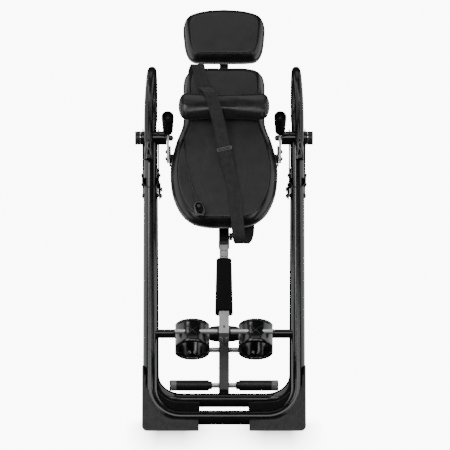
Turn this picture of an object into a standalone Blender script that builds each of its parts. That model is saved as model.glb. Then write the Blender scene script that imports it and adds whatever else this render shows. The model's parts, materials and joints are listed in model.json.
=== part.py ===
"""Inversion table: a folding A-frame that carries a pivoting bed. Metres, +Z up, the user faces -Y."""

import math

import bmesh
import bpy
from mathutils import Matrix, Vector

# Driving dimensions: the frame
HUB_Y = -0.0750  # puts the middle of the whole table's box over the origin
HUB_Z = 1.141
FRONT_ANGLE = math.radians(21.4)
REAR_ANGLE = math.radians(31.0)
BED_TILT = math.radians(30.0)
LEG_X = 0.293
TUBE_R = 0.028
TUBE_WALL = 0.002
BEND_R = 0.124
BASE_HEIGHT = 0.049
GAP = 0.0003

# The leg joint, the crossbar and the shoes
SADDLE_Z = -0.185
SADDLE_R = 0.035
SADDLE_WALL = 0.0032
SADDLE_ARM = 0.015
SADDLE_DEPTH = 0.060
CROSSBAR_HEIGHT = 0.374
CROSSBAR_R = 0.0175
BUMPER_R = 0.0325
BUMPER_HALF = 0.060
SHOE_X = 0.324
SHOE_END_X = 0.100
SHOE_TOP = 0.251
SHOE_HALF = 0.038

# The hub and the fold
HUB_R = 0.027
HUB_IN = 0.2293
HUB_OUT = 0.3325
SHAFT_R = 0.010
EAR_GAP = 0.0285
EAR_WALL = 0.005
REAR_TOP = 0.150
BRACE_PIN = 0.245
FOLD = math.radians(30.0)
STRUT_WALL = 0.0055
STRUT_HALF = 0.015
PIN_R = 0.0055

# The hand loops and the bed's grips
LOOP_R = 0.0145
SLEEVE_R = 0.017
ARM_X = 0.2195
ARM_WALL = 0.009
ARM_LENGTH = 0.105
STEM_R = 0.0050

# The bed, in its own frame: -Y is the side the user lies on, +Z is towards the head
CUSHION_FRONT = -0.035
CUSHION_BACK = 0.014
PAN_WALL = 0.008
SPINE_Y = 0.072
SPINE_HALF = 0.021
SPINE_BORE = 0.0185
SPINE_TOP = 0.312
SPINE_END = -0.437
MEMBER_Z = -0.075
MEMBER_HALF = 0.014
PILLOW_Z = 0.105
PILLOW_HALF = (0.183, 0.038, 0.058)
STRAP_WIDTH = 0.050
STRAP_THICK = 0.002
CORD_R = 0.002
HANDSET_AT = (-0.098, -0.0455, -0.345)
HANDSET_LEAN = math.radians(-13.0)

# The boom, the ankle holder and the footrest
BOOM_HALF = 0.018
BOOM_BORE = 0.0153
BOOM_TOP = -0.150
BOOM_END = -0.870
HEIGHT_HOLES = 8
HOLE_PITCH = 0.018
POST_HALF = 0.0205
POST_END = -1.098
ANKLE_Z = -0.912
ANKLE_X = 0.125
LEVER_Y = -0.089
LEVER_HALF = 0.020
ANKLE_TUBE_R = 0.0092
SLIDE_Z = -0.888
SLIDE_R = 0.008
CUP_R = 0.0605
CUP_RIM = 0.0675
CUP_INNER = 0.050
CUP_HALF = 0.045
FOOT_Z = -1.069
PULL_Z = -0.407
PULL_R = 0.0048


def clear_scene():
    for obj in list(bpy.data.objects):
        bpy.data.objects.remove(obj, do_unlink=True)


def finish(name, colour, roughness, metallic=0.0):
    made = bpy.data.materials.new(name)
    made.use_nodes = True
    shader = made.node_tree.nodes["Principled BSDF"]
    shader.inputs["Base Color"].default_value = (*colour, 1.0)
    shader.inputs["Roughness"].default_value = roughness
    shader.inputs["Metallic"].default_value = metallic
    return made


def finishes():
    return {
        "gloss_black": finish("gloss_black", (0.012, 0.012, 0.013), 0.22),
        "satin_black": finish("satin_black", (0.03, 0.03, 0.032), 0.45),
        "silver": finish("silver", (0.62, 0.63, 0.64), 0.30, 0.9),
        "post_grey": finish("post_grey", (0.05, 0.05, 0.052), 0.42),
        "rubber": finish("rubber", (0.045, 0.045, 0.047), 0.60),
        "foam": finish("foam", (0.02, 0.02, 0.021), 0.70),
        "leather": finish("leather", (0.030, 0.030, 0.031), 0.42),
        "webbing": finish("webbing", (0.035, 0.035, 0.037), 0.85),
        "cord": finish("cord", (0.06, 0.06, 0.062), 0.5),
    }


def empty(name, place, turn=0.0, parent=None):
    """A joint's frame: an empty on the joint's axis, turned about X."""
    made = bpy.data.objects.new(name, None)
    made.location = place
    made.rotation_euler = (turn, 0.0, 0.0)
    made.parent = parent
    bpy.context.scene.collection.objects.link(made)
    return made


def solid(name, bm, material, parent, smooth=35.0):
    """Turns a bmesh into a named object with faces out and its round faces smooth."""
    bmesh.ops.remove_doubles(bm, verts=bm.verts, dist=1e-6)
    bmesh.ops.recalc_face_normals(bm, faces=bm.faces)
    mesh = bpy.data.meshes.new(name)
    bm.to_mesh(mesh)
    bm.free()
    mesh.shade_smooth()
    mesh.set_sharp_from_angle(angle=math.radians(smooth))
    made = bpy.data.objects.new(name, mesh)
    if material:
        mesh.materials.append(material)
    made.parent = parent
    bpy.context.scene.collection.objects.link(made)
    return made


def boolean(target, helper, operation="DIFFERENCE"):
    """Cuts or joins with a helper object, which stays as a hidden guide."""
    helper.hide_render = True
    helper.display_type = "WIRE"
    modifier = target.modifiers.new(operation.lower(), "BOOLEAN")
    modifier.operation = operation
    modifier.object = helper
    return target


def bevel(target, width, segments=2, angle=40.0):
    modifier = target.modifiers.new("bevel", "BEVEL")
    modifier.width = width
    modifier.segments = segments
    modifier.limit_method = "ANGLE"
    modifier.angle_limit = math.radians(angle)
    return target


# Paths


def spline(points, steps, closed=False):
    """A Catmull-Rom curve through points, with the same number of steps between each two."""
    knots = [Vector(p) for p in points]
    count = len(knots)
    result = []
    for i in range(count if closed else count - 1):
        if closed:
            a, b, c, d = (knots[(i + k) % count] for k in (-1, 0, 1, 2))
        else:
            a, b, c, d = (knots[min(max(i + k, 0), count - 1)] for k in (-1, 0, 1, 2))
        for step in range(steps):
            t = step / steps
            bend = (c - a) * t + (2 * a - 5 * b + 4 * c - d) * t**2 + (3 * b - a - 3 * c + d) * t**3
            result.append(b + 0.5 * bend)
    if not closed:
        result.append(knots[-1])
    return result


def arc(centre, radius, start, end, steps):
    """Points of an arc in the XZ plane, in degrees from +X towards +Z."""
    result = []
    for step in range(steps + 1):
        angle = math.radians(start + (end - start) * step / steps)
        result.append(Vector(centre) + radius * Vector((math.cos(angle), 0.0, math.sin(angle))))
    return result


def u_path(top, bottom):
    """The centre line of a U-shaped frame, in its own plane."""
    left = Vector((-LEG_X, 0.0, top))
    right = Vector((LEG_X, 0.0, top))
    corner = LEG_X - BEND_R
    turn_left = arc((-corner, 0.0, bottom + BEND_R), BEND_R, 180, 270, 6)
    turn_right = arc((corner, 0.0, bottom + BEND_R), BEND_R, 270, 360, 6)
    return [left, *turn_left, *turn_right, right]


def tangents(path, closed=False):
    result = []
    for i in range(len(path)):
        if closed:
            ahead, behind = path[(i + 1) % len(path)], path[i - 1]
        else:
            ahead, behind = path[min(i + 1, len(path) - 1)], path[max(i - 1, 0)]
        result.append((ahead - behind).normalized())
    return result


# Meshes


def rings_along(bm, path, radius, sides):
    """A ring of vertices across the path at each of its points, without twist."""
    directions = tangents(path)
    side = directions[0].orthogonal().normalized()
    rings = []
    for i, (point, direction) in enumerate(zip(path, directions)):
        if i:
            side = directions[i - 1].rotation_difference(direction) @ side
        other = direction.cross(side)
        ring = []
        for k in range(sides):
            angle = 2 * math.pi * (k + 0.5) / sides
            ring.append(bm.verts.new(point + radius * (math.cos(angle) * side + math.sin(angle) * other)))
        rings.append(ring)
    return rings


def bridge(bm, first, second):
    count = len(first)
    for k in range(count):
        after = (k + 1) % count
        bm.faces.new((first[k], first[after], second[after], second[k]))


def rod(path, radius, sides=12):
    """A solid round bar along a path."""
    bm = bmesh.new()
    rings = rings_along(bm, path, radius, sides)
    for first, second in zip(rings, rings[1:]):
        bridge(bm, first, second)
    bm.faces.new(rings[0])
    bm.faces.new(rings[-1])
    return bm


def pipe(path, radius, bore, sides=12):
    """An open-ended round tube along a path."""
    bm = bmesh.new()
    outer = rings_along(bm, path, radius, sides)
    inner = rings_along(bm, path, bore, sides)
    loop = [*outer, *reversed(inner)]
    for first, second in zip(loop, loop[1:] + loop[:1]):
        bridge(bm, first, second)
    return bm


def turned(profile, axis, centre=(0.0, 0.0, 0.0), sides=24, closed=False):
    """Turns (distance along, radius) points about an axis. Radius 0 makes a pole."""
    along = Vector(axis).normalized()
    side = Vector((0.0, 0.0, 1.0)) if abs(along.z) < 0.5 else Vector((1.0, 0.0, 0.0))
    other = along.cross(side)
    bm = bmesh.new()
    rings = []
    for distance, radius in profile:
        point = Vector(centre) + distance * along
        if radius == 0:
            rings.append([bm.verts.new(point)])
            continue
        ring = []
        for k in range(sides):
            angle = 2 * math.pi * k / sides
            ring.append(bm.verts.new(point + radius * (math.cos(angle) * side + math.sin(angle) * other)))
        rings.append(ring)
    pairs = list(zip(rings, rings[1:]))
    if closed:
        pairs.append((rings[-1], rings[0]))
    for first, second in pairs:
        if len(first) == len(second):
            bridge(bm, first, second)
            continue
        pole, ring = sorted((first, second), key=len)
        for k in range(sides):
            bm.faces.new((pole[0], ring[k], ring[(k + 1) % sides]))
    if not closed:
        for ring in (rings[0], rings[-1]):
            if len(ring) > 1:
                bm.faces.new(ring)
    return bm


def box(low, high):
    bm = bmesh.new()
    bmesh.ops.create_cube(bm, size=1.0)
    low, high = Vector(low), Vector(high)
    size = high - low
    for vert in bm.verts:
        vert.co = (low + high) / 2 + Vector(c * s for c, s in zip(vert.co, size))
    return bm


def square_tube(half, bore, centre_y, low, high):
    """A square tube along Z, open at both ends."""
    bm = bmesh.new()
    rings = []
    for reach, z in ((half, low), (half, high), (bore, high), (bore, low)):
        corners = ((-1, -1), (1, -1), (1, 1), (-1, 1))
        rings.append([bm.verts.new((reach * x, centre_y + reach * y, z)) for x, y in corners])
    for first, second in zip(rings, rings[1:] + rings[:1]):
        bridge(bm, first, second)
    return bm


def prism(outline, low, high, axis="Y"):
    """Extrudes an outline. Its points are (x, z) for axis Y and (y, z) for axis X."""
    bm = bmesh.new()
    rings = []
    for level in (low, high):
        if axis == "Y":
            rings.append([bm.verts.new((a, level, b)) for a, b in outline])
        else:
            rings.append([bm.verts.new((level, a, b)) for a, b in outline])
    bridge(bm, *rings)
    bm.faces.new(rings[0])
    bm.faces.new(rings[1])
    return bm


def round_end(centre, radius, start, end, steps=8):
    """Outline points round an arc, in degrees from the first axis to the second."""
    points = []
    for step in range(steps + 1):
        angle = math.radians(start + (end - start) * step / steps)
        points.append((centre[0] + radius * math.cos(angle), centre[1] + radius * math.sin(angle)))
    return points


def stadium(first, second, radius, steps=8):
    """The outline of a strip with round ends, between two points on a line along the second axis."""
    low, high = sorted((first[1], second[1]))
    top = round_end((first[0], high), radius, 0, 180, steps)
    bottom = round_end((first[0], low), radius, 180, 360, steps)
    return top + bottom


def mirrored_outline(half):
    """A closed outline from the points of its right half, listed from top to bottom."""
    left = [(-x, z) for x, z in reversed(half) if x > 0]
    return half + left


def ribbon(path, width, thickness):
    """A flat closed loop of webbing, with its width as near to X as its direction allows."""
    bm = bmesh.new()
    rings = []
    across = Vector((1.0, 0.0, 0.0))
    for point, direction in zip(path, tangents(path, closed=True)):
        wide = (across - across.dot(direction) * direction).normalized() * width / 2
        thick = direction.cross(wide).normalized() * thickness / 2
        corners = (wide + thick, wide - thick, -wide - thick, -wide + thick)
        rings.append([bm.verts.new(point + corner) for corner in corners])
    for first, second in zip(rings, rings[1:] + rings[:1]):
        bridge(bm, first, second)
    return bm


# The front frame


def make_front_frame(frames, looks):
    front, level = frames["front"], frames["level"]
    bottom = -(HUB_Z - BASE_HEIGHT) / math.cos(FRONT_ANGLE)
    tube = pipe(u_path(SADDLE_Z, bottom), TUBE_R, TUBE_R - TUBE_WALL, 16)
    tube = solid("front_u_tube", tube, looks["gloss_black"], front)
    make_crossbar(frames, looks)
    for side, name in ((-1, "left"), (1, "right")):
        x = side * LEG_X
        outer = [(x + a, b) for a, b in saddle_shape(SADDLE_R + GAP)]
        inner = [(x + a, b) for a, b in saddle_shape(SADDLE_R - SADDLE_WALL - GAP)]
        reach = SADDLE_DEPTH
        boolean(tube, solid(f"cut_leg_top_{name}", prism(outer, -reach, reach), None, front))
        path = [Vector((x, 0.0, -0.010)), Vector((x, 0.0, SADDLE_Z - SADDLE_R))]
        upper = pipe(path, TUBE_R, TUBE_R - TUBE_WALL, 16)
        upper = solid(f"upper_leg_tube_{name}", upper, looks["gloss_black"], front)
        shape = prism(inner, -reach, reach)
        boolean(upper, solid(f"shape_leg_end_{name}", shape, None, front), "INTERSECT")
        clear = turned([(-0.05, HUB_R + GAP), (0.05, HUB_R + GAP)], (1, 0, 0), (x, 0, 0))
        boolean(upper, solid(f"cut_hub_{name}", clear, None, level))
        make_saddle(name, x, front, looks)
        hole = turned([(-0.05, PIN_R), (0.05, PIN_R)], (1, 0, 0), (x, 0, -BRACE_PIN), 12)
        boolean(tube, solid(f"cut_brace_bolt_{name}", hole, None, front))
        make_brace_bolt(name, side, front, looks)
        make_hub_housing(name, side, level, looks)
        make_hand_loop(name, side, level, looks)
        shoe = make_shoe(f"front_shoe_{name}", side, -FRONT_ANGLE, level, looks)
        clear = rod(u_path(SADDLE_Z, bottom), TUBE_R + 2 * GAP, 16)
        boolean(shoe, solid(f"cut_front_shoe_{name}", clear, None, front))


def saddle_shape(radius):
    """The filled U that a leg joint is cut to: round below, straight above."""
    top = SADDLE_Z + 0.3
    return [(radius, top), (-radius, top), *round_end((0, SADDLE_Z), radius, 180, 360, 12)]


def make_saddle(name, x, parent, looks):
    """The U-shaped lip plate that the upper leg tube sits in."""
    top = SADDLE_Z + SADDLE_ARM
    outer = round_end((x, SADDLE_Z), SADDLE_R, 180, 360, 12)
    inner = round_end((x, SADDLE_Z), SADDLE_R - SADDLE_WALL, 360, 180, 12)
    far, near = SADDLE_R, SADDLE_R - SADDLE_WALL
    outline = [(x - far, top), *outer, (x + far, top), (x + near, top), *inner, (x - near, top)]
    plate = prism(outline, -SADDLE_DEPTH / 2, SADDLE_DEPTH / 2)
    solid(f"leg_joint_saddle_{name}", plate, looks["gloss_black"], parent)


def make_crossbar(frames, looks):
    """The bar between the front legs, with the rubber roll that the boom rests on."""
    z = -(HUB_Z - CROSSBAR_HEIGHT) / math.cos(FRONT_ANGLE)
    path = [Vector((-LEG_X, 0.0, z)), Vector((LEG_X, 0.0, z))]
    bar = pipe(path, CROSSBAR_R, CROSSBAR_R - TUBE_WALL, 16)
    bar = solid("front_crossbar", bar, looks["gloss_black"], frames["front"])
    for side, name in ((-1, "left"), (1, "right")):
        clear = turned([(-0.08, TUBE_R + GAP), (0.08, TUBE_R + GAP)], (0, 0, 1), (side * LEG_X, 0, z))
        boolean(bar, solid(f"cut_crossbar_{name}", clear, None, frames["front"]))
    steps = 8
    profile = [(BUMPER_HALF, CROSSBAR_R + GAP), (-BUMPER_HALF, CROSSBAR_R + GAP)]
    for step in range(steps + 1):
        angle = math.pi * (1 - step / steps)
        shoulder = CROSSBAR_R + 0.003
        radius = shoulder + (BUMPER_R - shoulder) * math.sin(angle) ** 0.7
        profile.append((BUMPER_HALF * math.cos(angle), radius))
    bumper = turned(profile, (1, 0, 0), (0, 0, z), 24, closed=True)
    solid("crossbar_bumper", bumper, looks["rubber"], frames["front"])


def make_brace_bolt(name, side, parent, looks):
    """The bolt through a front leg that the fold strut turns on."""
    strut = LEG_X - EAR_GAP - EAR_WALL - 0.0005
    shaft = PIN_R - GAP
    profile = [
        (LEG_X + TUBE_R + 0.007, 0.0),
        (LEG_X + TUBE_R + 0.0065, 0.006),
        (LEG_X + TUBE_R + 0.003, 0.0085),
        (LEG_X + TUBE_R + GAP, 0.0085),
        (LEG_X + TUBE_R + GAP, shaft),
        (LEG_X - TUBE_R - GAP, shaft),
        (LEG_X - TUBE_R - GAP, 0.008),
        (strut + 0.0004, 0.008),
        (strut + 0.0004, shaft),
        (strut - STRUT_WALL - 0.0004, shaft),
        (strut - STRUT_WALL - 0.0004, 0.010),
        (strut - STRUT_WALL - 0.004, 0.009),
        (strut - STRUT_WALL - 0.007, 0.005),
        (strut - STRUT_WALL - 0.008, 0.0),
    ]
    bolt = turned(profile, (side, 0, 0), (0, 0, -BRACE_PIN), 12)
    solid(f"brace_bolt_{name}", bolt, looks["satin_black"], parent)


def make_hub_housing(name, side, parent, looks):
    bore = SHAFT_R + GAP
    edge = 0.0015
    profile = [
        (HUB_IN, bore),
        (HUB_IN, HUB_R - edge),
        (HUB_IN + edge, HUB_R),
        (HUB_OUT - edge, HUB_R),
        (HUB_OUT, HUB_R - edge),
        (HUB_OUT, bore),
    ]
    housing = turned(profile, (side, 0, 0), sides=24, closed=True)
    solid(f"hub_housing_{name}", housing, looks["gloss_black"], parent)


def make_hand_loop(name, side, parent, looks):
    """The tall hand loop: bolted to the front of the leg, welded to the back of the hub."""
    knots = [
        (0.3020, -0.0783, -0.0832),
        (0.3020, -0.0660, -0.0450),
        (0.3020, -0.0557, -0.0147),
        (0.3020, -0.0500, 0.0300),
        (0.3015, -0.0480, 0.0950),
        (0.2985, -0.0420, 0.1750),
        (0.2930, -0.0080, 0.2450),
        (0.2880, 0.0520, 0.2680),
        (0.2850, 0.1050, 0.2350),
        (0.2840, 0.1250, 0.1650),
        (0.2840, 0.1080, 0.0980),
        (0.2840, 0.0700, 0.0550),
        (0.2840, 0.0150, 0.0130),
    ]
    path = spline([(side * x, y, z) for x, y, z in knots], 3)
    tube = pipe(path, LOOP_R, LOOP_R - TUBE_WALL, 10)
    loop = solid(f"hand_loop_{name}", tube, looks["gloss_black"], parent)
    clear = turned([(-0.05, HUB_R + GAP), (0.05, HUB_R + GAP)], (1, 0, 0), (side * LEG_X, 0, 0))
    boolean(loop, solid(f"cut_loop_{name}", clear, None, parent))
    sleeve = pipe(path[6:-4], SLEEVE_R, LOOP_R + 0.0010, 12)
    solid(f"hand_loop_sleeve_{name}", sleeve, looks["foam"], parent)


def make_shoe(name, side, lean, parent, looks):
    """The corner shoe: flat on the floor, swept up the outside of the leg to a tip."""
    corner = 0.020
    middle_x, middle_z = 0.190, 0.046
    floor = -HUB_Z
    steps = 10
    outline = [(SHOE_END_X, 0.043), (SHOE_END_X, 0.0)]
    outline += round_end((SHOE_X - corner, corner), corner, 270, 360, 4)
    outline += [(SHOE_X, SHOE_TOP)]
    for step in range(steps + 1):
        angle = math.pi / 2 * step / steps
        reach, drop = SHOE_X - 0.008 - middle_x, SHOE_TOP - middle_z
        outline.append((middle_x + reach * math.cos(angle), SHOE_TOP - drop * math.sin(angle)))
    bm = bmesh.new()
    rings = []
    for offset in (-SHOE_HALF, SHOE_HALF):
        ring = []
        for x, z in outline:
            height = floor + z
            ring.append(bm.verts.new((side * x, -height * math.tan(lean) + offset, height)))
        rings.append(ring)
    bridge(bm, *rings)
    bm.faces.new(rings[0])
    bm.faces.new(rings[1])
    shoe = solid(name, bm, looks["rubber"], parent)
    return bevel(shoe, 0.003, 1)


# The rear frame and its fold


def make_rear_frame(frames, looks):
    rear, level = frames["rear"], frames["level"]
    bottom = -(HUB_Z - BASE_HEIGHT) / math.cos(REAR_ANGLE)
    tube = pipe(u_path(-REAR_TOP, bottom), TUBE_R, TUBE_R - TUBE_WALL, 16)
    solid("rear_u_tube", tube, looks["gloss_black"], rear)
    for side, name in ((-1, "left"), (1, "right")):
        make_rear_bracket(name, side, rear, looks)
        shoe = make_shoe(f"rear_shoe_{name}", side, REAR_ANGLE, level, looks)
        clear = rod(u_path(-REAR_TOP, bottom), TUBE_R + 2 * GAP, 16)
        boolean(shoe, solid(f"cut_rear_shoe_{name}", clear, None, rear))


def ear_outline():
    """An ear of the hinge bracket in (y, z): a ring round the hub that runs down the leg."""
    eye = 0.036
    front, back = -0.020, EAR_GAP + EAR_WALL
    top = round_end((0, 0), eye, -30, 210, 14)
    foot = [(front, -0.060), (front, -0.262), (back, -0.262), (back, -0.150), (0.022, -0.090)]
    return top + foot


def make_rear_bracket(name, side, parent, looks):
    """The clevis on a rear leg: two ears that turn on the hub housing, joined behind the leg."""
    x = side * LEG_X
    near = (EAR_GAP, EAR_GAP + EAR_WALL)
    ears = [prism(ear_outline(), x + s * near[0], x + s * near[1], "X") for s in (-1, 1)]
    bracket = solid(f"rear_hinge_bracket_{name}", ears[0], looks["gloss_black"], parent)
    boolean(bracket, solid(f"join_ear_{name}", ears[1], None, parent), "UNION")
    reach = near[1] - 0.001
    low = (x - reach, EAR_GAP + 0.0005, -0.240)
    high = (x + reach, EAR_GAP + EAR_WALL - 0.0005, -0.165)
    boolean(bracket, solid(f"join_web_{name}", box(low, high), None, parent), "UNION")
    bore = HUB_R + 2 * GAP
    hole = turned([(-0.05, bore), (0.05, bore)], (1, 0, 0), (x, 0, 0))
    boolean(bracket, solid(f"cut_eye_{name}", hole, None, parent))
    inner = LEG_X - EAR_GAP - EAR_WALL
    strut = inner - 0.0005 - STRUT_WALL - 0.0005
    shaft = PIN_R - GAP
    profile = [
        (inner + 0.002, 0.0),
        (inner + 0.002, shaft),
        (strut, shaft),
        (strut, 0.010),
        (strut - 0.003, 0.0095),
        (strut - 0.006, 0.005),
        (strut - 0.0065, 0.0),
    ]
    stud = turned(profile, (side, 0, 0), (0, 0, -BRACE_PIN), 12)
    boolean(bracket, solid(f"join_stud_{name}", stud, None, parent), "UNION")


def make_struts(frame, looks):
    """The slotted fold struts. Each turns on the front leg's bolt, and the rear stud runs in its slot."""
    open_angle = FRONT_ANGLE + REAR_ANGLE
    wide = 2 * BRACE_PIN * math.sin(open_angle / 2)
    narrow = 2 * BRACE_PIN * math.sin((open_angle - FOLD) / 2)
    outer = LEG_X - EAR_GAP - EAR_WALL - 0.0005
    for side, name in ((-1, "left"), (1, "right")):
        low, high = sorted((side * outer, side * (outer - STRUT_WALL)))
        shape = stadium((0, -wide), (0, 0), STRUT_HALF)
        strut = solid(f"fold_strut_{name}", prism(shape, low, high, "X"), looks["gloss_black"], frame)
        slot = stadium((0, -wide - 0.001), (0, -narrow + 0.001), PIN_R + 0.0003)
        cutter = prism(slot, low - 0.01, high + 0.01, "X")
        boolean(strut, solid(f"cut_slot_{name}", cutter, None, frame))
        hole = turned([(-0.02, PIN_R), (0.02, PIN_R)], (1, 0, 0), (side * outer, 0, 0), 12)
        boolean(strut, solid(f"cut_pivot_{name}", hole, None, frame))


# The bed


def backrest_half():
    """The right half of the backrest's outline, from the top down."""
    knots = [
        (0.000, 0.316),
        (0.085, 0.316),
        (0.140, 0.299),
        (0.161, 0.252),
        (0.161, 0.140),
        (0.164, 0.060),
        (0.190, -0.020),
        (0.210, -0.110),
        (0.212, -0.190),
        (0.201, -0.265),
        (0.172, -0.335),
        (0.128, -0.380),
        (0.070, -0.398),
        (0.000, -0.400),
    ]
    return [(p.x, p.y) for p in spline([(x, z, 0.0) for x, z in knots], 2)]


def headrest_half():
    knots = [
        (0.000, 0.584),
        (0.080, 0.577),
        (0.140, 0.556),
        (0.162, 0.515),
        (0.160, 0.450),
        (0.151, 0.395),
        (0.130, 0.360),
        (0.090, 0.351),
        (0.000, 0.350),
    ]
    return [(p.x, p.y) for p in spline([(x, z, 0.0) for x, z in knots], 2)]


def scaled(outline, factor, middle_z):
    return [(x * factor, middle_z + (z - middle_z) * factor) for x, z in outline]


def make_bed(frames, looks):
    bed = frames["bed"]
    for side, name in ((-1, "left"), (1, "right")):
        make_pivot_shaft(name, side, bed, looks)
        make_pivot_arm(name, side, bed, looks)
        make_bed_grip(name, side, bed, looks)
    make_cross_member(bed, looks)
    make_spine(bed, looks)
    make_backrest(bed, looks)
    make_pillow(bed, looks)
    make_strap(bed, looks)
    make_handset(bed, looks)


def make_pivot_shaft(name, side, parent, looks):
    """The pivot shaft: a polished flange outside the hub, and a domed nut inside the arm."""
    arm = ARM_X - GAP
    profile = [
        (HUB_OUT + 0.006, 0.0),
        (HUB_OUT + 0.006, HUB_R),
        (HUB_OUT + GAP, HUB_R),
        (HUB_OUT + GAP, SHAFT_R),
        (arm, SHAFT_R),
        (arm, 0.0115),
        (arm - 0.012, 0.0115),
        (arm - 0.019, 0.009),
        (arm - 0.023, 0.004),
        (arm - 0.0235, 0.0),
    ]
    solid(f"pivot_shaft_{name}", turned(profile, (side, 0, 0)), looks["silver"], parent)
    start, end = HUB_OUT + 0.006 + GAP, 0.356
    profile = [(start, 0.0), (start, HUB_R), (end - 0.003, HUB_R), (end, HUB_R - 0.004), (end, 0.0)]
    solid(f"hub_end_cap_{name}", turned(profile, (side, 0, 0)), looks["satin_black"], parent)


def make_pivot_arm(name, side, parent, looks):
    """The flat hanger between hub and bed, with the stem of the hand grip."""
    low, high = sorted((side * ARM_X, side * (ARM_X + ARM_WALL)))
    eye, half = 0.020, 0.018
    outline = round_end((0, 0), eye, -20, 200, 10)
    outline += [(-half, -0.030), (-half, -ARM_LENGTH), (half, -ARM_LENGTH), (half, -0.030)]
    arm = solid(f"pivot_arm_{name}", prism(outline, low, high, "X"), looks["silver"], parent)
    middle = side * (ARM_X + ARM_WALL / 2)
    stem = turned([(0.015, STEM_R), (0.150, STEM_R)], (0, -1, 0), (middle, 0, 0), 12)
    boolean(arm, solid(f"join_stem_{name}", stem, None, parent), "UNION")
    bore = SHAFT_R + GAP
    hole = turned([(-0.02, bore), (0.02, bore)], (1, 0, 0), (middle, 0, 0))
    boolean(arm, solid(f"cut_arm_{name}", hole, None, parent))


def make_bed_grip(name, side, parent, looks):
    """A waisted foam grip, pushed on its stem."""
    bore = STEM_R + GAP
    profile = [
        (0.1505, 0.0),
        (0.1505, bore),
        (0.0505, bore),
        (0.0505, 0.011),
        (0.0600, 0.0165),
        (0.0800, 0.0205),
        (0.1100, 0.0240),
        (0.1450, 0.0245),
        (0.1700, 0.0235),
        (0.1860, 0.0230),
        (0.1900, 0.0200),
        (0.1910, 0.0),
    ]
    middle = side * (ARM_X + ARM_WALL / 2)
    grip = turned(profile, (0, -1, 0), (middle, 0, 0), 16)
    solid(f"bed_grip_{name}", grip, looks["foam"], parent)


def make_cross_member(parent, looks):
    """The square tube behind the backrest, with a flange at each end for the pivot arm."""
    middle = (CUSHION_BACK + GAP + PAN_WALL + GAP + SPINE_Y - SPINE_HALF - GAP) / 2
    reach = ARM_X - GAP
    flange = 0.007
    low = (-reach + 0.002, middle - MEMBER_HALF, MEMBER_Z - MEMBER_HALF)
    high = (reach - 0.002, middle + MEMBER_HALF, MEMBER_Z + MEMBER_HALF)
    member = solid("bed_cross_member", box(low, high), looks["satin_black"], parent)
    for side, name in ((-1, "left"), (1, "right")):
        near, far = sorted((side * reach, side * (reach - flange)))
        plate = box((near, -0.020, -0.104), (far, middle + MEMBER_HALF, -0.046))
        boolean(member, solid(f"join_flange_{name}", plate, None, parent), "UNION")


def make_spine(parent, looks):
    """The square tube down the back: the headrest post enters its top and the boom its bottom."""
    spine = square_tube(SPINE_HALF, SPINE_BORE, SPINE_Y, SPINE_END, SPINE_TOP)
    spine = solid("bed_spine", spine, looks["gloss_black"], parent)
    hole = turned([(0.010, PULL_R + 0.0005), (0.030, PULL_R + 0.0005)], (1, 0, 0), (0, SPINE_Y, PULL_Z), 12)
    boolean(spine, solid("cut_pull_hole", hole, None, parent))
    end = SPINE_END - GAP
    bushing = square_tube(SPINE_HALF + 0.0005, BOOM_HALF + 0.0004, SPINE_Y, end - 0.015, end)
    solid("receiver_bushing", bushing, looks["post_grey"], parent)
    start = SPINE_HALF + GAP
    bore = PULL_R + 0.0005
    profile = [(start, bore), (start, 0.015), (start + 0.010, 0.015), (start + 0.012, 0.013)]
    profile.append((start + 0.012, bore))
    barrel = turned(profile, (1, 0, 0), (0, SPINE_Y, PULL_Z), 20, closed=True)
    solid("pull_pin_housing", barrel, looks["satin_black"], parent)


def make_backrest(parent, looks):
    outline = mirrored_outline(backrest_half())
    cushion = prism(outline, CUSHION_FRONT, CUSHION_BACK)
    bevel(solid("backrest_cushion", cushion, looks["leather"], parent), 0.010, 2, 60)
    low = CUSHION_BACK + GAP
    board = prism(scaled(outline, 0.94, -0.05), low, low + PAN_WALL)
    pan = solid("backrest_pan", board, looks["satin_black"], parent)
    back = SPINE_Y - SPINE_HALF - GAP
    for tag, z in (("top", 0.235), ("bottom", -0.372)):
        block = box((-0.040, low + PAN_WALL / 2, z - 0.0035), (0.040, back, z + 0.0035))
        boolean(pan, solid(f"join_pan_{tag}", block, None, parent), "UNION")


def make_pillow(parent, looks):
    """The plain shape of the lumbar roll: an oval bar with pulled-in ends."""
    half_x, half_y, half_z = PILLOW_HALF
    middle_y = CUSHION_FRONT - GAP - half_y
    rings = ((-1.0, 0.62), (-0.96, 0.86), (-0.80, 1.0), (0.80, 1.0), (0.96, 0.86), (1.0, 0.62))
    bm = bmesh.new()
    loops = []
    sides = 16
    for place, size in rings:
        loop = []
        for k in range(sides):
            angle = 2 * math.pi * k / sides
            y = middle_y + size * half_y * math.cos(angle)
            loop.append(bm.verts.new((place * half_x, y, PILLOW_Z + size * half_z * math.sin(angle))))
        loops.append(loop)
    for first, second in zip(loops, loops[1:]):
        bridge(bm, first, second)
    bm.faces.new(loops[0])
    bm.faces.new(loops[-1])
    solid("lumbar_pillow", bm, looks["leather"], parent)


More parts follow.
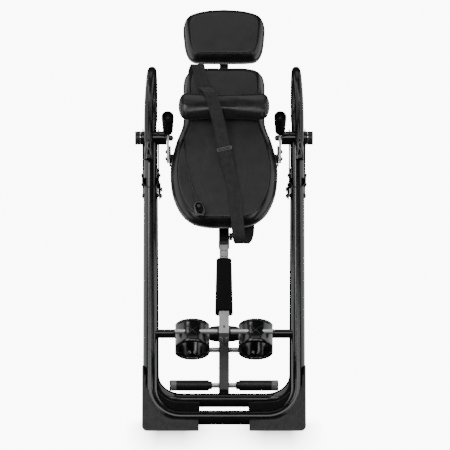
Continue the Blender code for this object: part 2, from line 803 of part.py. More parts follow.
def strap_path():
    """The middle of the strap: down the front over the roll, round the bottom, and up behind the spine."""
    knots = [
        (-0.108, -0.008, 0.3225),
        (-0.104, -0.036, 0.3120),
        (-0.095, -0.0385, 0.2650),
        (-0.079, -0.0430, 0.2120),
        (-0.064, -0.0850, 0.1720),
        (-0.0565, -0.1070, 0.1460),
        (-0.046, -0.1142, 0.1120),
        (-0.034, -0.1105, 0.0680),
        (-0.016, -0.0880, 0.0000),
        (0.002, -0.0640, -0.0840),
        (0.025, -0.0420, -0.1900),
        (0.043, -0.0385, -0.2800),
        (0.050, -0.0385, -0.3580),
        (0.054, -0.0370, -0.4050),
        (0.058, -0.0260, -0.4520),
        (0.066, 0.0000, -0.4700),
        (0.078, 0.0300, -0.4560),
        (0.092, 0.0620, -0.4100),
        (0.094, 0.0920, -0.3300),
        (0.060, 0.1000, -0.2200),
        (0.000, 0.1000, -0.0500),
        (-0.050, 0.1000, 0.1000),
        (-0.092, 0.0880, 0.2200),
        (-0.106, 0.0450, 0.3040),
    ]
    return spline(knots, 2, closed=True)


def make_strap(parent, looks):
    strap = ribbon(strap_path(), STRAP_WIDTH, STRAP_THICK)
    solid("tether_strap", strap, looks["webbing"], parent)
    direction = Vector((0.022, 0.0215, -0.095)).normalized()
    wide = Vector((1.0, 0.0, 0.0))
    wide = (wide - wide.dot(direction) * direction).normalized()
    outward = wide.cross(direction).normalized()
    turn = Matrix((wide, outward, -direction)).transposed().to_4x4()
    half_wide, half_high, bar = 0.031, 0.011, 0.0035
    bm = bmesh.new()
    rings = []
    for inset, depth in ((0.0, -0.0008), (0.0, 0.0008), (bar, 0.0008), (bar, -0.0008)):
        w, h = half_wide - inset, half_high - inset
        rings.append([bm.verts.new((x, depth, z)) for x, z in ((-w, -h), (w, -h), (w, h), (-w, h))])
    for first, second in zip(rings, rings[1:] + rings[:1]):
        bridge(bm, first, second)
    lift = outward * 0.0030 if outward.y < 0 else outward * -0.0030
    place = Matrix.Translation(Vector((0.002, -0.0640, -0.0840)) + lift)
    bmesh.ops.transform(bm, matrix=place @ turn, verts=bm.verts)
    solid("strap_buckle", bm, looks["silver"], parent)


def cord_points():
    """The controller's cord, from the roll's lower edge to the top of the handset."""
    knots = [
        (-0.1580, -0.0660, 0.0430),
        (-0.1585, -0.0570, 0.0320),
        (-0.1590, -0.0430, 0.0160),
        (-0.1590, -0.0385, -0.0100),
        (-0.1575, -0.0378, -0.0600),
        (-0.1520, -0.0378, -0.1200),
        (-0.1440, -0.0378, -0.1700),
        (-0.1320, -0.0378, -0.2200),
        (-0.1200, -0.0385, -0.2620),
        (-0.1105, -0.0410, -0.2890),
        (-0.1068, -0.0440, -0.3050),
    ]
    return spline(knots, 6)


def make_handset(parent, looks):
    """The wired controller that rests on the backrest, with its cord and its button."""
    curve = bpy.data.curves.new("controller_cord", "CURVE")
    curve.dimensions = "3D"
    curve.bevel_depth = CORD_R
    curve.bevel_resolution = 2
    curve.use_fill_caps = True
    curve.render_resolution_u = 0
    line = curve.splines.new("POLY")
    points = cord_points()
    line.points.add(len(points) - 1)
    for point, place in zip(line.points, points):
        point.co = (*place, 1.0)
    curve.materials.append(looks["cord"])
    cord = bpy.data.objects.new("controller_cord", curve)
    cord.parent = parent
    bpy.context.scene.collection.objects.link(cord)

    turn = Matrix.Translation(HANDSET_AT) @ Matrix.Rotation(HANDSET_LEAN, 4, "Y")
    oval = [(0.023 * x, 0.039 * z) for x, z in round_end((0, 0), 1.0, 0, 360 - 18, 19)]
    body = prism(oval, -0.009, 0.009)
    bmesh.ops.transform(body, matrix=turn, verts=body.verts)
    handset = bevel(solid("controller_handset", body, looks["satin_black"], parent), 0.004, 2, 60)
    pocket = turned([(0.0065, 0.0078), (0.012, 0.0078)], (0, -1, 0), (0, 0, 0.010), 16)
    bmesh.ops.transform(pocket, matrix=turn, verts=pocket.verts)
    boolean(handset, solid("cut_button_pocket", pocket, None, parent))
    profile = [(0.0085, 0.0), (0.0085, 0.0073), (0.0100, 0.0073), (0.0108, 0.0062), (0.0110, 0.0)]
    button = turned(profile, (0, -1, 0), (0, 0, 0.010), 16)
    bmesh.ops.transform(button, matrix=turn, verts=button.verts)
    solid("handset_button", button, looks["rubber"], parent)


def make_headrest(parent, looks):
    outline = mirrored_outline(headrest_half())
    back = 0.025
    cushion = prism(outline, CUSHION_FRONT, back)
    bevel(solid("headrest_cushion", cushion, looks["leather"], parent), 0.010, 2, 60)
    half = 0.0175
    post = box((-half, SPINE_Y - half, 0.150), (half, SPINE_Y + half, 0.530))
    post = solid("headrest_post", post, looks["satin_black"], parent)
    block = box((-0.030, back + GAP, 0.420), (0.030, SPINE_Y, 0.510))
    boolean(post, solid("join_head_block", block, None, parent), "UNION")


# The boom and what it carries


def make_boom(parent, looks):
    boom = square_tube(BOOM_HALF, BOOM_BORE, SPINE_Y, BOOM_END, BOOM_TOP)
    boom = solid("boom_tube", boom, looks["silver"], parent)
    holes = bmesh.new()
    for step in range(HEIGHT_HOLES):
        place = (0, SPINE_Y, PULL_Z + HOLE_PITCH * step)
        piece = turned([(0.0165, PULL_R + 0.0005), (0.024, PULL_R + 0.0005)], (1, 0, 0), place, 10)
        mesh = bpy.data.meshes.new(f"height_hole_{step}")
        piece.to_mesh(mesh)
        holes.from_mesh(mesh)
    boolean(boom, solid("cut_height_holes", holes, None, parent))
    make_foot_post(parent, looks)
    tube = rod([Vector((-0.150, SPINE_Y, ANKLE_Z)), Vector((0.150, SPINE_Y, ANKLE_Z))], ANKLE_TUBE_R, 16)
    solid("rear_ankle_tube", tube, looks["silver"], parent)
    middle = SPINE_Y - ANKLE_TUBE_R - 0.0005 - CUP_R
    for side, name in ((-1, "left"), (1, "right")):
        cup = cup_shell((side * ANKLE_X, middle, ANKLE_Z), 90)
        solid(f"rear_ankle_cup_{name}", cup, looks["gloss_black"], parent)
        make_footrest_grip(name, side, parent, looks)
    bar = rod([Vector((-0.200, SPINE_Y, FOOT_Z)), Vector((0.200, SPINE_Y, FOOT_Z))], ANKLE_TUBE_R, 16)
    solid("footrest_bar", bar, looks["silver"], parent)


def make_foot_post(parent, looks):
    """The dark lower post: its spigot sits in the boom, and its back is flush with the boom."""
    back = SPINE_Y + BOOM_HALF
    top = BOOM_END - GAP
    post = box((-POST_HALF, back - 2 * POST_HALF, POST_END), (POST_HALF, back, top))
    post = solid("foot_post", post, looks["post_grey"], parent)
    spigot = BOOM_BORE - GAP
    plug = box((-spigot, SPINE_Y - spigot, top - 0.01), (spigot, SPINE_Y + spigot, top + 0.070))
    boolean(post, solid("join_spigot", plug, None, parent), "UNION")
    for tag, z in (("ankle", ANKLE_Z), ("foot", FOOT_Z)):
        bore = ANKLE_TUBE_R + GAP
        hole = turned([(-0.03, bore), (0.03, bore)], (1, 0, 0), (0, SPINE_Y, z), 16)
        boolean(post, solid(f"cut_post_{tag}", hole, None, parent))
    bore = SLIDE_R + 0.0004
    hole = turned([(-0.06, bore), (0.06, bore)], (0, 1, 0), (0, SPINE_Y, SLIDE_Z), 16)
    boolean(post, solid("cut_post_slide", hole, None, parent))


def cup_shell(centre, facing, reach=78.0, steps=10):
    """An ankle cup: a rimmed shell bent round the ankle, its back towards the facing angle."""
    rim, high = 0.007, CUP_HALF
    section = [
        (CUP_INNER, -high + 0.002),
        (CUP_INNER + 0.002, -high),
        (CUP_RIM - 0.002, -high),
        (CUP_RIM, -high + 0.002),
        (CUP_RIM, -high + rim),
        (CUP_R + 0.001, -high + rim + 0.006),
        (CUP_R, 0.0),
        (CUP_R + 0.001, high - rim - 0.006),
        (CUP_RIM, high - rim),
        (CUP_RIM, high - 0.002),
        (CUP_RIM - 0.002, high),
        (CUP_INNER + 0.002, high),
        (CUP_INNER, high - 0.002),
    ]
    bm = bmesh.new()
    rings = []
    for step in range(steps + 1):
        angle = math.radians(facing - reach + 2 * reach * step / steps)
        out = Vector((math.cos(angle), math.sin(angle), 0.0))
        rings.append([bm.verts.new(Vector(centre) + out * r + Vector((0, 0, z))) for r, z in section])
    for first, second in zip(rings, rings[1:]):
        bridge(bm, first, second)
    bm.faces.new(rings[0])
    bm.faces.new(rings[-1])
    return bm


def make_footrest_grip(name, side, parent, looks):
    bore = ANKLE_TUBE_R + GAP
    profile = [
        (0.2010, 0.0),
        (0.2010, bore),
        (0.0470, bore),
        (0.0470, 0.0155),
        (0.0610, 0.0155),
        (0.0612, 0.0195),
        (0.0640, 0.0205),
        (0.1930, 0.0205),
        (0.1945, 0.0200),
        (0.2120, 0.0200),
        (0.2150, 0.0175),
        (0.2152, 0.0),
    ]
    grip = turned(profile, (side, 0, 0), (0, SPINE_Y, FOOT_Z), 20)
    solid(f"footrest_grip_{name}", grip, looks["rubber"], parent)


def make_ankle_carriage(parent, looks):
    """The front ankle holder: a lever bar on a slide rod, a cross tube and two cups."""
    top, end = -0.620, -0.9285
    front, back = LEVER_Y - LEVER_HALF, LEVER_Y + LEVER_HALF
    bar = box((-LEVER_HALF, front, end), (LEVER_HALF, back, top))
    bar = solid("lever_bar", bar, looks["silver"], parent)
    path = [Vector((0, back - 0.010, SLIDE_Z)), Vector((0, 0.135, SLIDE_Z))]
    boolean(bar, solid("join_slide_rod", rod(path, SLIDE_R, 16), None, parent), "UNION")
    bore = ANKLE_TUBE_R + GAP
    hole = turned([(-0.03, bore), (0.03, bore)], (1, 0, 0), (0, LEVER_Y, ANKLE_Z), 16)
    boolean(bar, solid("cut_lever_tube", hole, None, parent))
    path = [Vector((-0.196, LEVER_Y, ANKLE_Z)), Vector((0.196, LEVER_Y, ANKLE_Z))]
    solid("front_ankle_tube", rod(path, ANKLE_TUBE_R, 16), looks["silver"], parent)
    middle = LEVER_Y - ANKLE_TUBE_R - 0.004 + CUP_R
    for side, name in ((-1, "left"), (1, "right")):
        cup = cup_shell((side * ANKLE_X, middle, ANKLE_Z), -90)
        cup = solid(f"front_ankle_cup_{name}", cup, looks["gloss_black"], parent)
        channel = turned([(-0.09, bore), (0.09, bore)], (1, 0, 0), (side * ANKLE_X, LEVER_Y, ANKLE_Z), 16)
        boolean(cup, solid(f"cut_cup_{name}", channel, None, parent))
    make_lever_grip(parent, looks)


def make_lever_grip(parent, looks):
    """The tapered grip pushed over the lever bar's upper end."""
    bm = bmesh.new()
    rings = []
    for half_x, half_y, z in ((0.0355, 0.028, -0.834), (0.0300, 0.025, -0.587)):
        corners = ((-1, -1), (1, -1), (1, 1), (-1, 1))
        rings.append([bm.verts.new((x * half_x, LEVER_Y + y * half_y, z)) for x, y in corners])
    bridge(bm, *rings)
    bm.faces.new(rings[0])
    bm.faces.new(rings[1])
    grip = solid("lever_grip", bm, looks["foam"], parent)
    bevel(grip, 0.007, 2)
    reach = LEVER_HALF + GAP
    low, high = (-reach, LEVER_Y - reach, -0.850), (reach, LEVER_Y + reach, -0.6195)
    boolean(grip, solid("cut_grip_socket", box(low, high), None, parent))


def make_pull_pin(parent, looks):
    """The sprung pin that locks the boom: it slides out along X."""
    face = SPINE_HALF + GAP + 0.012 + GAP
    profile = [
        (BOOM_HALF + GAP, 0.0),
        (BOOM_HALF + GAP, PULL_R - 0.001),
        (BOOM_HALF + GAP + 0.001, PULL_R),
        (face, PULL_R),
        (face, 0.0090),
        (face + 0.011, 0.0090),
        (face + 0.012, 0.0105),
        (face + 0.015, 0.0105),
        (face + 0.016, 0.0090),
        (face + 0.016, 0.0),
    ]
    solid("pull_pin", turned(profile, (1, 0, 0), (0, SPINE_Y, PULL_Z), 16), looks["silver"], parent)


def main():
    clear_scene()
    looks = finishes()
    hub = (0.0, HUB_Y, HUB_Z)
    frames = {
        "level": empty("hub_level", hub),
        "front": empty("front_plane", hub, -FRONT_ANGLE),
        "rear": empty("fold_axis", hub, REAR_ANGLE),
        "bed": empty("bed_pivot", hub, -BED_TILT),
    }
    lean = (math.pi + REAR_ANGLE + FRONT_ANGLE) / 2
    strut = empty("strut_axis", (0.0, 0.0, -BRACE_PIN), lean, frames["front"])
    make_front_frame(frames, looks)
    make_rear_frame(frames, looks)
    make_struts(strut, looks)
    make_bed(frames, looks)
    make_headrest(frames["bed"], looks)
    make_boom(frames["bed"], looks)
    make_ankle_carriage(frames["bed"], looks)
    make_pull_pin(frames["bed"], looks)


main()
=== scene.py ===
"""Inversion table: the looks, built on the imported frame. Metres, +Z up, the user faces -Y."""

import json
import math

import bmesh
import bpy
from mathutils import Matrix, Vector, noise
from mathutils.bvhtree import BVHTree


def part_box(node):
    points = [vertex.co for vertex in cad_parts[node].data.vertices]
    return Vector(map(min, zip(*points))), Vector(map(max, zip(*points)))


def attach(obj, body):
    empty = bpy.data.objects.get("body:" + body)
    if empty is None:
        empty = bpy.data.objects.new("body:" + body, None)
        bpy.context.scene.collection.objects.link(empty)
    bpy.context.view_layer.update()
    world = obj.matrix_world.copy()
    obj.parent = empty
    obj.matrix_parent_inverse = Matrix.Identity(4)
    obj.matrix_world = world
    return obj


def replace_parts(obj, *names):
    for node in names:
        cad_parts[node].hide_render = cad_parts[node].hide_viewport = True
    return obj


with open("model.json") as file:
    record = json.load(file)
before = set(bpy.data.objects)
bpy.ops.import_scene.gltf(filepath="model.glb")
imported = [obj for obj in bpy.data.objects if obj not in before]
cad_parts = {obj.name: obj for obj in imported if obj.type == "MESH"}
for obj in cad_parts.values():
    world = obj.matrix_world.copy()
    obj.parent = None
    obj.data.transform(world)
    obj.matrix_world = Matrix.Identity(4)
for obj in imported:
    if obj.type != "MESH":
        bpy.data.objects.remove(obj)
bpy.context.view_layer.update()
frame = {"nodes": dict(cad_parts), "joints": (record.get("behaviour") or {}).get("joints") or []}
joints = {joint["name"]: joint for joint in frame["joints"]}

HUB = Vector(joints["main_pivot"]["pos_m"])
FRONT_ANGLE = math.radians(21.4)
REAR_ANGLE = math.radians(31.0)
BED_TILT = math.radians(30.0)

# Frames of the object's slanting parts: local -Z runs down the legs or the bed
LEVEL = Matrix.Translation(HUB)
FRONT = LEVEL @ Matrix.Rotation(-FRONT_ANGLE, 4, "X")
REAR = LEVEL @ Matrix.Rotation(REAR_ANGLE, 4, "X")
BED = LEVEL @ Matrix.Rotation(-BED_TILT, 4, "X")

LEG_X = 0.293
TUBE_R = 0.028
TUBE_BORE = TUBE_R - 0.002
HUB_R = 0.027
FOOT_HEIGHT = 0.049  # the U tubes' centre line over the floor
BAR_HEIGHT = 0.374
BRACE_Z = -0.245
SPINE_Y = 0.072
LEVER_Y = -0.089
PIN_Z = -0.407
ANKLE_Z = -0.912
FOOTREST_Z = -1.069
CUP_X = 0.125
OUTLINE_POINTS = 220
BOLT = (0.0065, 0.0045)  # radius and height of an ordinary bolt head
SIDES = ((-1, "left"), (1, "right"))


# Materials

LOOKS = {}


class Nodes:
    """A short way to write one material's nodes."""

    def __init__(self, name):
        self.material = bpy.data.materials.new(name)
        self.material.use_nodes = True
        self.tree = self.material.node_tree
        self.shader = self.tree.nodes["Principled BSDF"]

    def add(self, kind, inputs=None, **settings):
        node = self.tree.nodes.new(kind)
        for key, value in settings.items():
            setattr(node, key, value)
        for key, value in (inputs or {}).items():
            self.put(node.inputs[key], value)
        return node

    def put(self, socket, value):
        if isinstance(value, bpy.types.NodeSocket):
            self.tree.links.new(value, socket)
        else:
            socket.default_value = value

    def set(self, **inputs):
        for key, value in inputs.items():
            self.put(self.shader.inputs[key.replace("_", " ")], value)

    def place(self, stretch=(1, 1, 1), source="Object"):
        coords = self.add("ShaderNodeTexCoord").outputs[source]
        scale = tuple(stretch)
        return self.add("ShaderNodeMapping", {"Vector": coords, "Scale": scale}).outputs[0]

    def noise(self, scale, detail=3.0, stretch=(1, 1, 1)):
        inputs = {"Vector": self.place(stretch), "Scale": scale, "Detail": detail}
        return self.add("ShaderNodeTexNoise", inputs).outputs["Fac"]

    def cells(self, scale, feature="DISTANCE_TO_EDGE"):
        inputs = {"Vector": self.place(), "Scale": scale}
        return self.add("ShaderNodeTexVoronoi", inputs, feature=feature).outputs["Distance"]

    def remap(self, value, low, high, start=0.3, end=0.7):
        inputs = {"Value": value, "From Min": start, "From Max": end, "To Min": low, "To Max": high}
        return self.add("ShaderNodeMapRange", inputs).outputs["Result"]

    def blend(self, factor, first, second):
        node = self.add("ShaderNodeMix", data_type="RGBA")
        self.put(node.inputs[0], factor)
        self.put(node.inputs[6], (*first, 1.0))
        self.put(node.inputs[7], (*second, 1.0))
        return node.outputs[2]

    def bump(self, height, strength, distance, below=None):
        inputs = {"Height": height, "Strength": strength, "Distance": distance}
        if below is not None:
            inputs["Normal"] = below
        return self.add("ShaderNodeBump", inputs).outputs[0]


def painted(name, low, high, rough):
    """Powder coat: a slight orange peel, and wear that shows as drifts of gloss."""
    n = Nodes(name)
    drift = n.noise(9, 4)
    n.set(Base_Color=n.blend(n.remap(n.noise(30, 5), 0, 1), low, high))
    n.set(Roughness=n.remap(drift, rough - 0.03, rough + 0.04), Specular_IOR_Level=0.6)
    n.set(Normal=n.bump(n.noise(150, 2), 0.006, 0.0005))
    return n.material


def steel(name, colour, rough, grain, metal=0.95):
    """Plated or brushed steel, with fine drawn lines along the grain."""
    n = Nodes(name)
    lines = n.noise(700, 3, grain)
    dull = tuple(0.8 * c for c in colour)
    n.set(Base_Color=n.blend(n.remap(n.noise(14, 4), 0, 1), dull, colour), Metallic=metal)
    n.set(Roughness=n.remap(lines, rough - 0.07, rough + 0.09))
    n.set(Normal=n.bump(lines, 0.05, 0.0002))
    return n.material


def leatherette(name, low, high, rough, grain=430, depth=0.22):
    """Coated fabric with a pebbled grain, faint creases, and a sheen that varies with handling."""
    n = Nodes(name)
    n.set(Base_Color=n.blend(n.remap(n.noise(16, 5), 0, 1), low, high))
    n.set(Roughness=n.remap(n.noise(22, 4), rough - 0.07, rough + 0.09), Specular_IOR_Level=0.42)
    creases = n.bump(n.noise(46, 4), 0.07, 0.0012)
    pebbles = n.remap(n.cells(grain), 0, 1, 0.0, 0.35)
    n.set(Normal=n.bump(pebbles, depth, 0.0004, creases))
    n.set(Sheen_Weight=0.06, Sheen_Roughness=0.4)
    return n.material


def rubbery(name, low, high, rough, grain, depth=0.3):
    n = Nodes(name)
    n.set(Base_Color=n.blend(n.remap(n.noise(24, 5), 0, 1), low, high))
    n.set(Roughness=n.remap(n.noise(60, 4), rough - 0.06, rough + 0.08), Specular_IOR_Level=0.4)
    n.set(Normal=n.bump(n.noise(grain, 3), depth, 0.0005))
    return n.material


def foam(name):
    """Closed-cell foam: a matt skin of tiny open cells."""
    n = Nodes(name)
    cells = n.cells(760, "F1")
    tint = n.remap(cells, 0, 1, 0.1, 0.7)
    n.set(Base_Color=n.blend(tint, (0.0008, 0.0008, 0.0008), (0.004, 0.004, 0.0042)))
    n.set(Roughness=n.remap(n.noise(40, 3), 0.56, 0.7), Specular_IOR_Level=0.08)
    n.set(Normal=n.bump(cells, 0.15, 0.0004))
    return n.material


def woven(name):
    """Nylon webbing: rows of ribs across it, broken by the warp. UV is in centimetres."""
    n = Nodes(name)
    across = {"Vector": n.place((1, 1, 1), "UV"), "Scale": 0.9, "Distortion": 0.6, "Detail": 1.0}
    warp = n.add("ShaderNodeTexWave", across, bands_direction="X").outputs["Fac"]
    along = {"Vector": n.place((1, 1, 1), "UV"), "Scale": 1.8, "Distortion": 0.8, "Detail": 1.0}
    weft = n.add("ShaderNodeTexWave", along, bands_direction="DIAGONAL").outputs["Fac"]
    weave = n.add("ShaderNodeMath", operation="MULTIPLY")
    n.put(weave.inputs[0], warp)
    n.put(weave.inputs[1], weft)
    speckle = n.add("ShaderNodeMath", {0: weave.outputs[0], 1: n.noise(900, 2)}, operation="MULTIPLY")
    factor = n.remap(speckle.outputs[0], 0, 1, 0.05, 0.55)
    n.set(Base_Color=n.blend(factor, (0.002, 0.002, 0.0022), (0.026, 0.026, 0.027)))
    n.set(Roughness=n.remap(n.noise(50, 4), 0.66, 0.84), Sheen_Weight=0.05, Sheen_Roughness=0.5)
    n.set(Normal=n.bump(weave.outputs[0], 0.55, 0.0009))
    return n.material


def make_materials():
    deep = (0.0025, 0.0025, 0.003)
    glossy = (0.006, 0.006, 0.0065)
    black = (0.012, 0.012, 0.0125)
    return {
        "paint": painted("gloss_black_paint", deep, glossy, 0.17),
        "satin": painted("satin_black_paint", deep, (0.018, 0.018, 0.019), 0.42),
        "grey": painted("dark_grey_paint", (0.03, 0.03, 0.031), (0.05, 0.05, 0.052), 0.4),
        "rim": painted("rim_grey", (0.11, 0.11, 0.112), (0.16, 0.16, 0.162), 0.45),
        "silver": steel("satin_silver", (0.66, 0.67, 0.68), 0.34, (1, 1, 0.04), 0.7),
        "plate": steel("plated_hanger", (0.8, 0.81, 0.82), 0.36, (1, 1, 0.04), 0.35),
        "polished": steel("polished_silver", (0.75, 0.76, 0.77), 0.18, (0.05, 1, 1)),
        "zinc": steel("zinc_bolt", (0.42, 0.42, 0.43), 0.34, (1, 1, 1)),
        "bolt": painted("black_bolt", deep, (0.02, 0.02, 0.02), 0.3),
        "leather": leatherette(
            "panel_leatherette", (0.0155, 0.0155, 0.016), (0.0205, 0.0205, 0.021), 0.46
        ),
        # Painted shade: near-black for the seams' creases and the grips' hollow ends.
        "painted_shade": painted("seam_shadow", (0.001, 0.001, 0.001), (0.003, 0.003, 0.003), 0.7),
        # The pads' side band: the panel leatherette made glossier, and darker as painted shade on the
        # sides turned from the front light.
        "band": leatherette("band_leatherette_painted_shade", deep, glossy, 0.27, 520, 0.1),
        "roll": leatherette(
            "roll_leatherette", (0.009, 0.009, 0.0095), (0.015, 0.015, 0.0155), 0.26, 380, 0.06
        ),
        "thread": rubbery("sewing_thread", (0.035, 0.035, 0.036), (0.06, 0.06, 0.062), 0.6, 900),
        "rubber": rubbery("shoe_rubber", black, (0.017, 0.017, 0.0175), 0.48, 420, 0.08),
        "grip": rubbery("grip_rubber", (0.004, 0.004, 0.0045), (0.008, 0.008, 0.0085), 0.4, 500, 0.08),
        "sleeve": rubbery(
            "satin_sleeve", (0.005, 0.005, 0.0055), (0.01, 0.01, 0.0105), 0.24, 700, 0.02
        ),
        "cup": painted("cup_plastic", deep, (0.007, 0.007, 0.007), 0.19),
        "moulded": rubbery("moulded_plastic", black, (0.022, 0.022, 0.023), 0.34, 650, 0.2),
        "face": rubbery("handset_face", (0.035, 0.035, 0.036), (0.05, 0.05, 0.052), 0.3, 800, 0.02),
        "foam": foam("closed_cell_foam"),
        "webbing": woven("nylon_webbing"),
    }


# Mesh code


def mm(*points):
    """Points written in millimetres, given back in metres."""
    return [tuple(value / 1000 for value in point) for point in points]


def link(name, data):
    made = bpy.data.objects.new(name, data)
    bpy.context.scene.collection.objects.link(made)
    return made


def shown(name, bm, look, body, slot, place=None, smooth=35.0, bevel=0.0):
    """Turns a bmesh into a piece that rides on a body."""
    bmesh.ops.recalc_face_normals(bm, faces=bm.faces)
    if place is not None:
        bmesh.ops.transform(bm, matrix=place, verts=bm.verts)
    mesh = bpy.data.meshes.new(name)
    bm.to_mesh(mesh)
    bm.free()
    mesh.shade_smooth()
    mesh.set_sharp_from_angle(angle=math.radians(smooth))
    mesh.materials.append(LOOKS[look])
    made = link(name, mesh)
    if bevel:
        modifier = made.modifiers.new("edges", "BEVEL")
        modifier.width = bevel
        modifier.segments = 3
        modifier.limit_method = "ANGLE"
        modifier.angle_limit = math.radians(40)
        modifier.harden_normals = True
    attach(made, body)
    return made


def fitted(node, *what, **how):
    """Shows a bmesh in place of one CAD solid."""
    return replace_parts(shown(*what, **how), node)


def refined(node, look, body, slot, bevel):
    """The CAD solid again, with its flat faces whole and its edges rounded."""
    bm = bmesh.new()
    bm.from_mesh(frame["nodes"][node].data)
    bmesh.ops.remove_doubles(bm, verts=bm.verts, dist=2e-6)
    bmesh.ops.dissolve_limit(bm, angle_limit=math.radians(1.0), verts=bm.verts, edges=bm.edges)
    fitted(node, f"{node}_shape", bm, look, body, slot, bevel=bevel)


def spline(points, steps, closed=False):
    knots = [Vector(p) for p in points]
    count = len(knots)
    result = []
    for i in range(count if closed else count - 1):
        if closed:
            a, b, c, d = (knots[(i + k) % count] for k in (-1, 0, 1, 2))
        else:
            a, b, c, d = (knots[min(max(i + k, 0), count - 1)] for k in (-1, 0, 1, 2))
        for step in range(steps):
            t = step / steps
            bend = (c - a) * t + (2 * a - 5 * b + 4 * c - d) * t**2 + (3 * b - a - 3 * c + d) * t**3
            result.append(b + 0.5 * bend)
    if not closed:
        result.append(knots[-1])
    return result


def arc(centre, radius, start, end, steps):
    result = []
    for step in range(steps + 1):
        angle = math.radians(start + (end - start) * step / steps)
        result.append(Vector(centre) + radius * Vector((math.cos(angle), 0.0, math.sin(angle))))
    return result


def tangents(path, closed=False):
    result = []
    for i in range(len(path)):
        if closed:
            ahead, behind = path[(i + 1) % len(path)], path[i - 1]
        else:
            ahead, behind = path[min(i + 1, len(path) - 1)], path[max(i - 1, 0)]
        result.append((ahead - behind).normalized())
    return result


def bridge(bm, first, second):
    count = len(first)
    faces = []
    for k in range(count):
        after = (k + 1) % count
        faces.append(bm.faces.new((first[k], first[after], second[after], second[k])))
    return faces


def skin(bm, rings, caps=True):
    """Joins a row of rings, and closes both ends unless caps is off."""
    for first, second in zip(rings, rings[1:]):
        bridge(bm, first, second)
    if caps:
        bm.faces.new(rings[0])
        bm.faces.new(rings[-1])
    return bm


def turn_steps(count):
    """The cosine and sine of evenly spread angles, all the way round."""
    angles = [2 * math.pi * k / count for k in range(count)]
    return [(math.cos(angle), math.sin(angle)) for angle in angles]


def tube(path, radius, sides=32, bore=None):
    """A round bar along a path, or an open-ended tube where it has a bore. radius may be a list."""
    bm = bmesh.new()
    directions = tangents(path)

    def rings(sizes):
        side = directions[0].orthogonal().normalized()
        made = []
        for i, (point, direction) in enumerate(zip(path, directions)):
            if i:
                side = directions[i - 1].rotation_difference(direction) @ side
            other = direction.cross(side)
            size = sizes[i] if isinstance(sizes, list) else sizes
            spots = [point + size * (c * side + s * other) for c, s in turn_steps(sides)]
            made.append([bm.verts.new(spot) for spot in spots])
        return made

    outer = rings(radius)
    if bore is None:
        return skin(bm, outer)
    loop = [*outer, *reversed(rings(bore))]
    return skin(bm, loop + loop[:1], caps=False)


def turned(profile, axis, centre=(0.0, 0.0, 0.0), sides=48, closed=False):
    """Turns (distance along, radius) points about an axis. Radius 0 makes a pole."""
    along = Vector(axis).normalized()
    side = Vector((0.0, 0.0, 1.0)) if abs(along.z) < 0.5 else Vector((1.0, 0.0, 0.0))
    side = (side - side.dot(along) * along).normalized()
    other = along.cross(side)
    bm = bmesh.new()
    rings = []
    for distance, radius in profile:
        point = Vector(centre) + distance * along
        if radius == 0:
            rings.append([bm.verts.new(point)])
            continue
        spots = [point + radius * (c * side + s * other) for c, s in turn_steps(sides)]
        rings.append([bm.verts.new(spot) for spot in spots])
    pairs = list(zip(rings, rings[1:]))
    if closed:
        pairs.append((rings[-1], rings[0]))
    for first, second in pairs:
        if len(first) == len(second):
            bridge(bm, first, second)
            continue
        pole, ring = sorted((first, second), key=len)
        for k in range(sides):
            bm.faces.new((pole[0], ring[k], ring[(k + 1) % sides]))
    if not closed:
        for ring in (rings[0], rings[-1]):
            if len(ring) > 1:
                bm.faces.new(ring)
    return bm


def box(low, high):
    bm = bmesh.new()
    bmesh.ops.create_cube(bm, size=1.0)
    low, high = Vector(low), Vector(high)
    size = high - low
    for vert in bm.verts:
        vert.co = (low + high) / 2 + Vector(c * s for c, s in zip(vert.co, size))
    return bm


def join(target, extra):
    """Adds one bmesh's shapes to another."""
    mesh = bpy.data.meshes.new("joined")
    extra.to_mesh(mesh)
    extra.free()
    target.from_mesh(mesh)
    bpy.data.meshes.remove(mesh)
    return target


def dome_bolt(centre, axis, radius=0.0085, height=0.0055, washer=True):
    """A domed bolt head on a washer, with a round socket recess."""
    profile = []
    if washer:
        profile += [(0.0, radius * 1.45), (0.0012, radius * 1.45), (0.0014, radius * 1.38)]
    base = 0.0014 if washer else 0.0
    profile += [(base, radius), (base + height * 0.35, radius)]
    for step in range(1, 6):
        angle = math.pi / 2 * step / 6
        lift = base + height * (0.35 + 0.65 * math.sin(angle))
        profile.append((lift, radius * (0.45 + 0.55 * math.cos(angle))))
    profile += [(base + height, radius * 0.46), (base + height * 0.4, radius * 0.42)]
    profile.append((base + height * 0.4, 0.0))
    return turned(profile, axis, centre, 24)


def hex_nut(centre, axis, radius=0.009, height=0.007):
    profile = [(0.0, radius), (height * 0.8, radius), (height, radius * 0.86), (height, radius * 0.5)]
    profile += [(height * 1.25, radius * 0.46), (height * 1.3, 0.0)]
    return turned(profile, axis, centre, 6)


# The camera and the studio


def make_camera():
    target = Vector((0.004, HUB.y, 0.793))
    distance, height = 33.0, math.radians(2.4)
    sensor, view_width = 36.0, 1.8
    data = bpy.data.cameras.new("camera")
    data.sensor_width = sensor
    data.lens = sensor * distance / view_width
    data.clip_end = 400.0
    camera = link("camera", data)
    camera.location = target + distance * Vector((0.0, -math.cos(height), math.sin(height)))
    camera.rotation_euler = (math.pi / 2 - height, 0.0, 0.0)
    bpy.context.scene.camera = camera


def softbox(name, place, target, size, power):
    data = bpy.data.lights.new(name, "AREA")
    data.shape = "RECTANGLE"
    data.size, data.size_y = size
    data.energy = power
    light = link(name, data)
    light.location = place
    light.rotation_euler = (Vector(target) - Vector(place)).to_track_quat("-Z", "Y").to_euler()


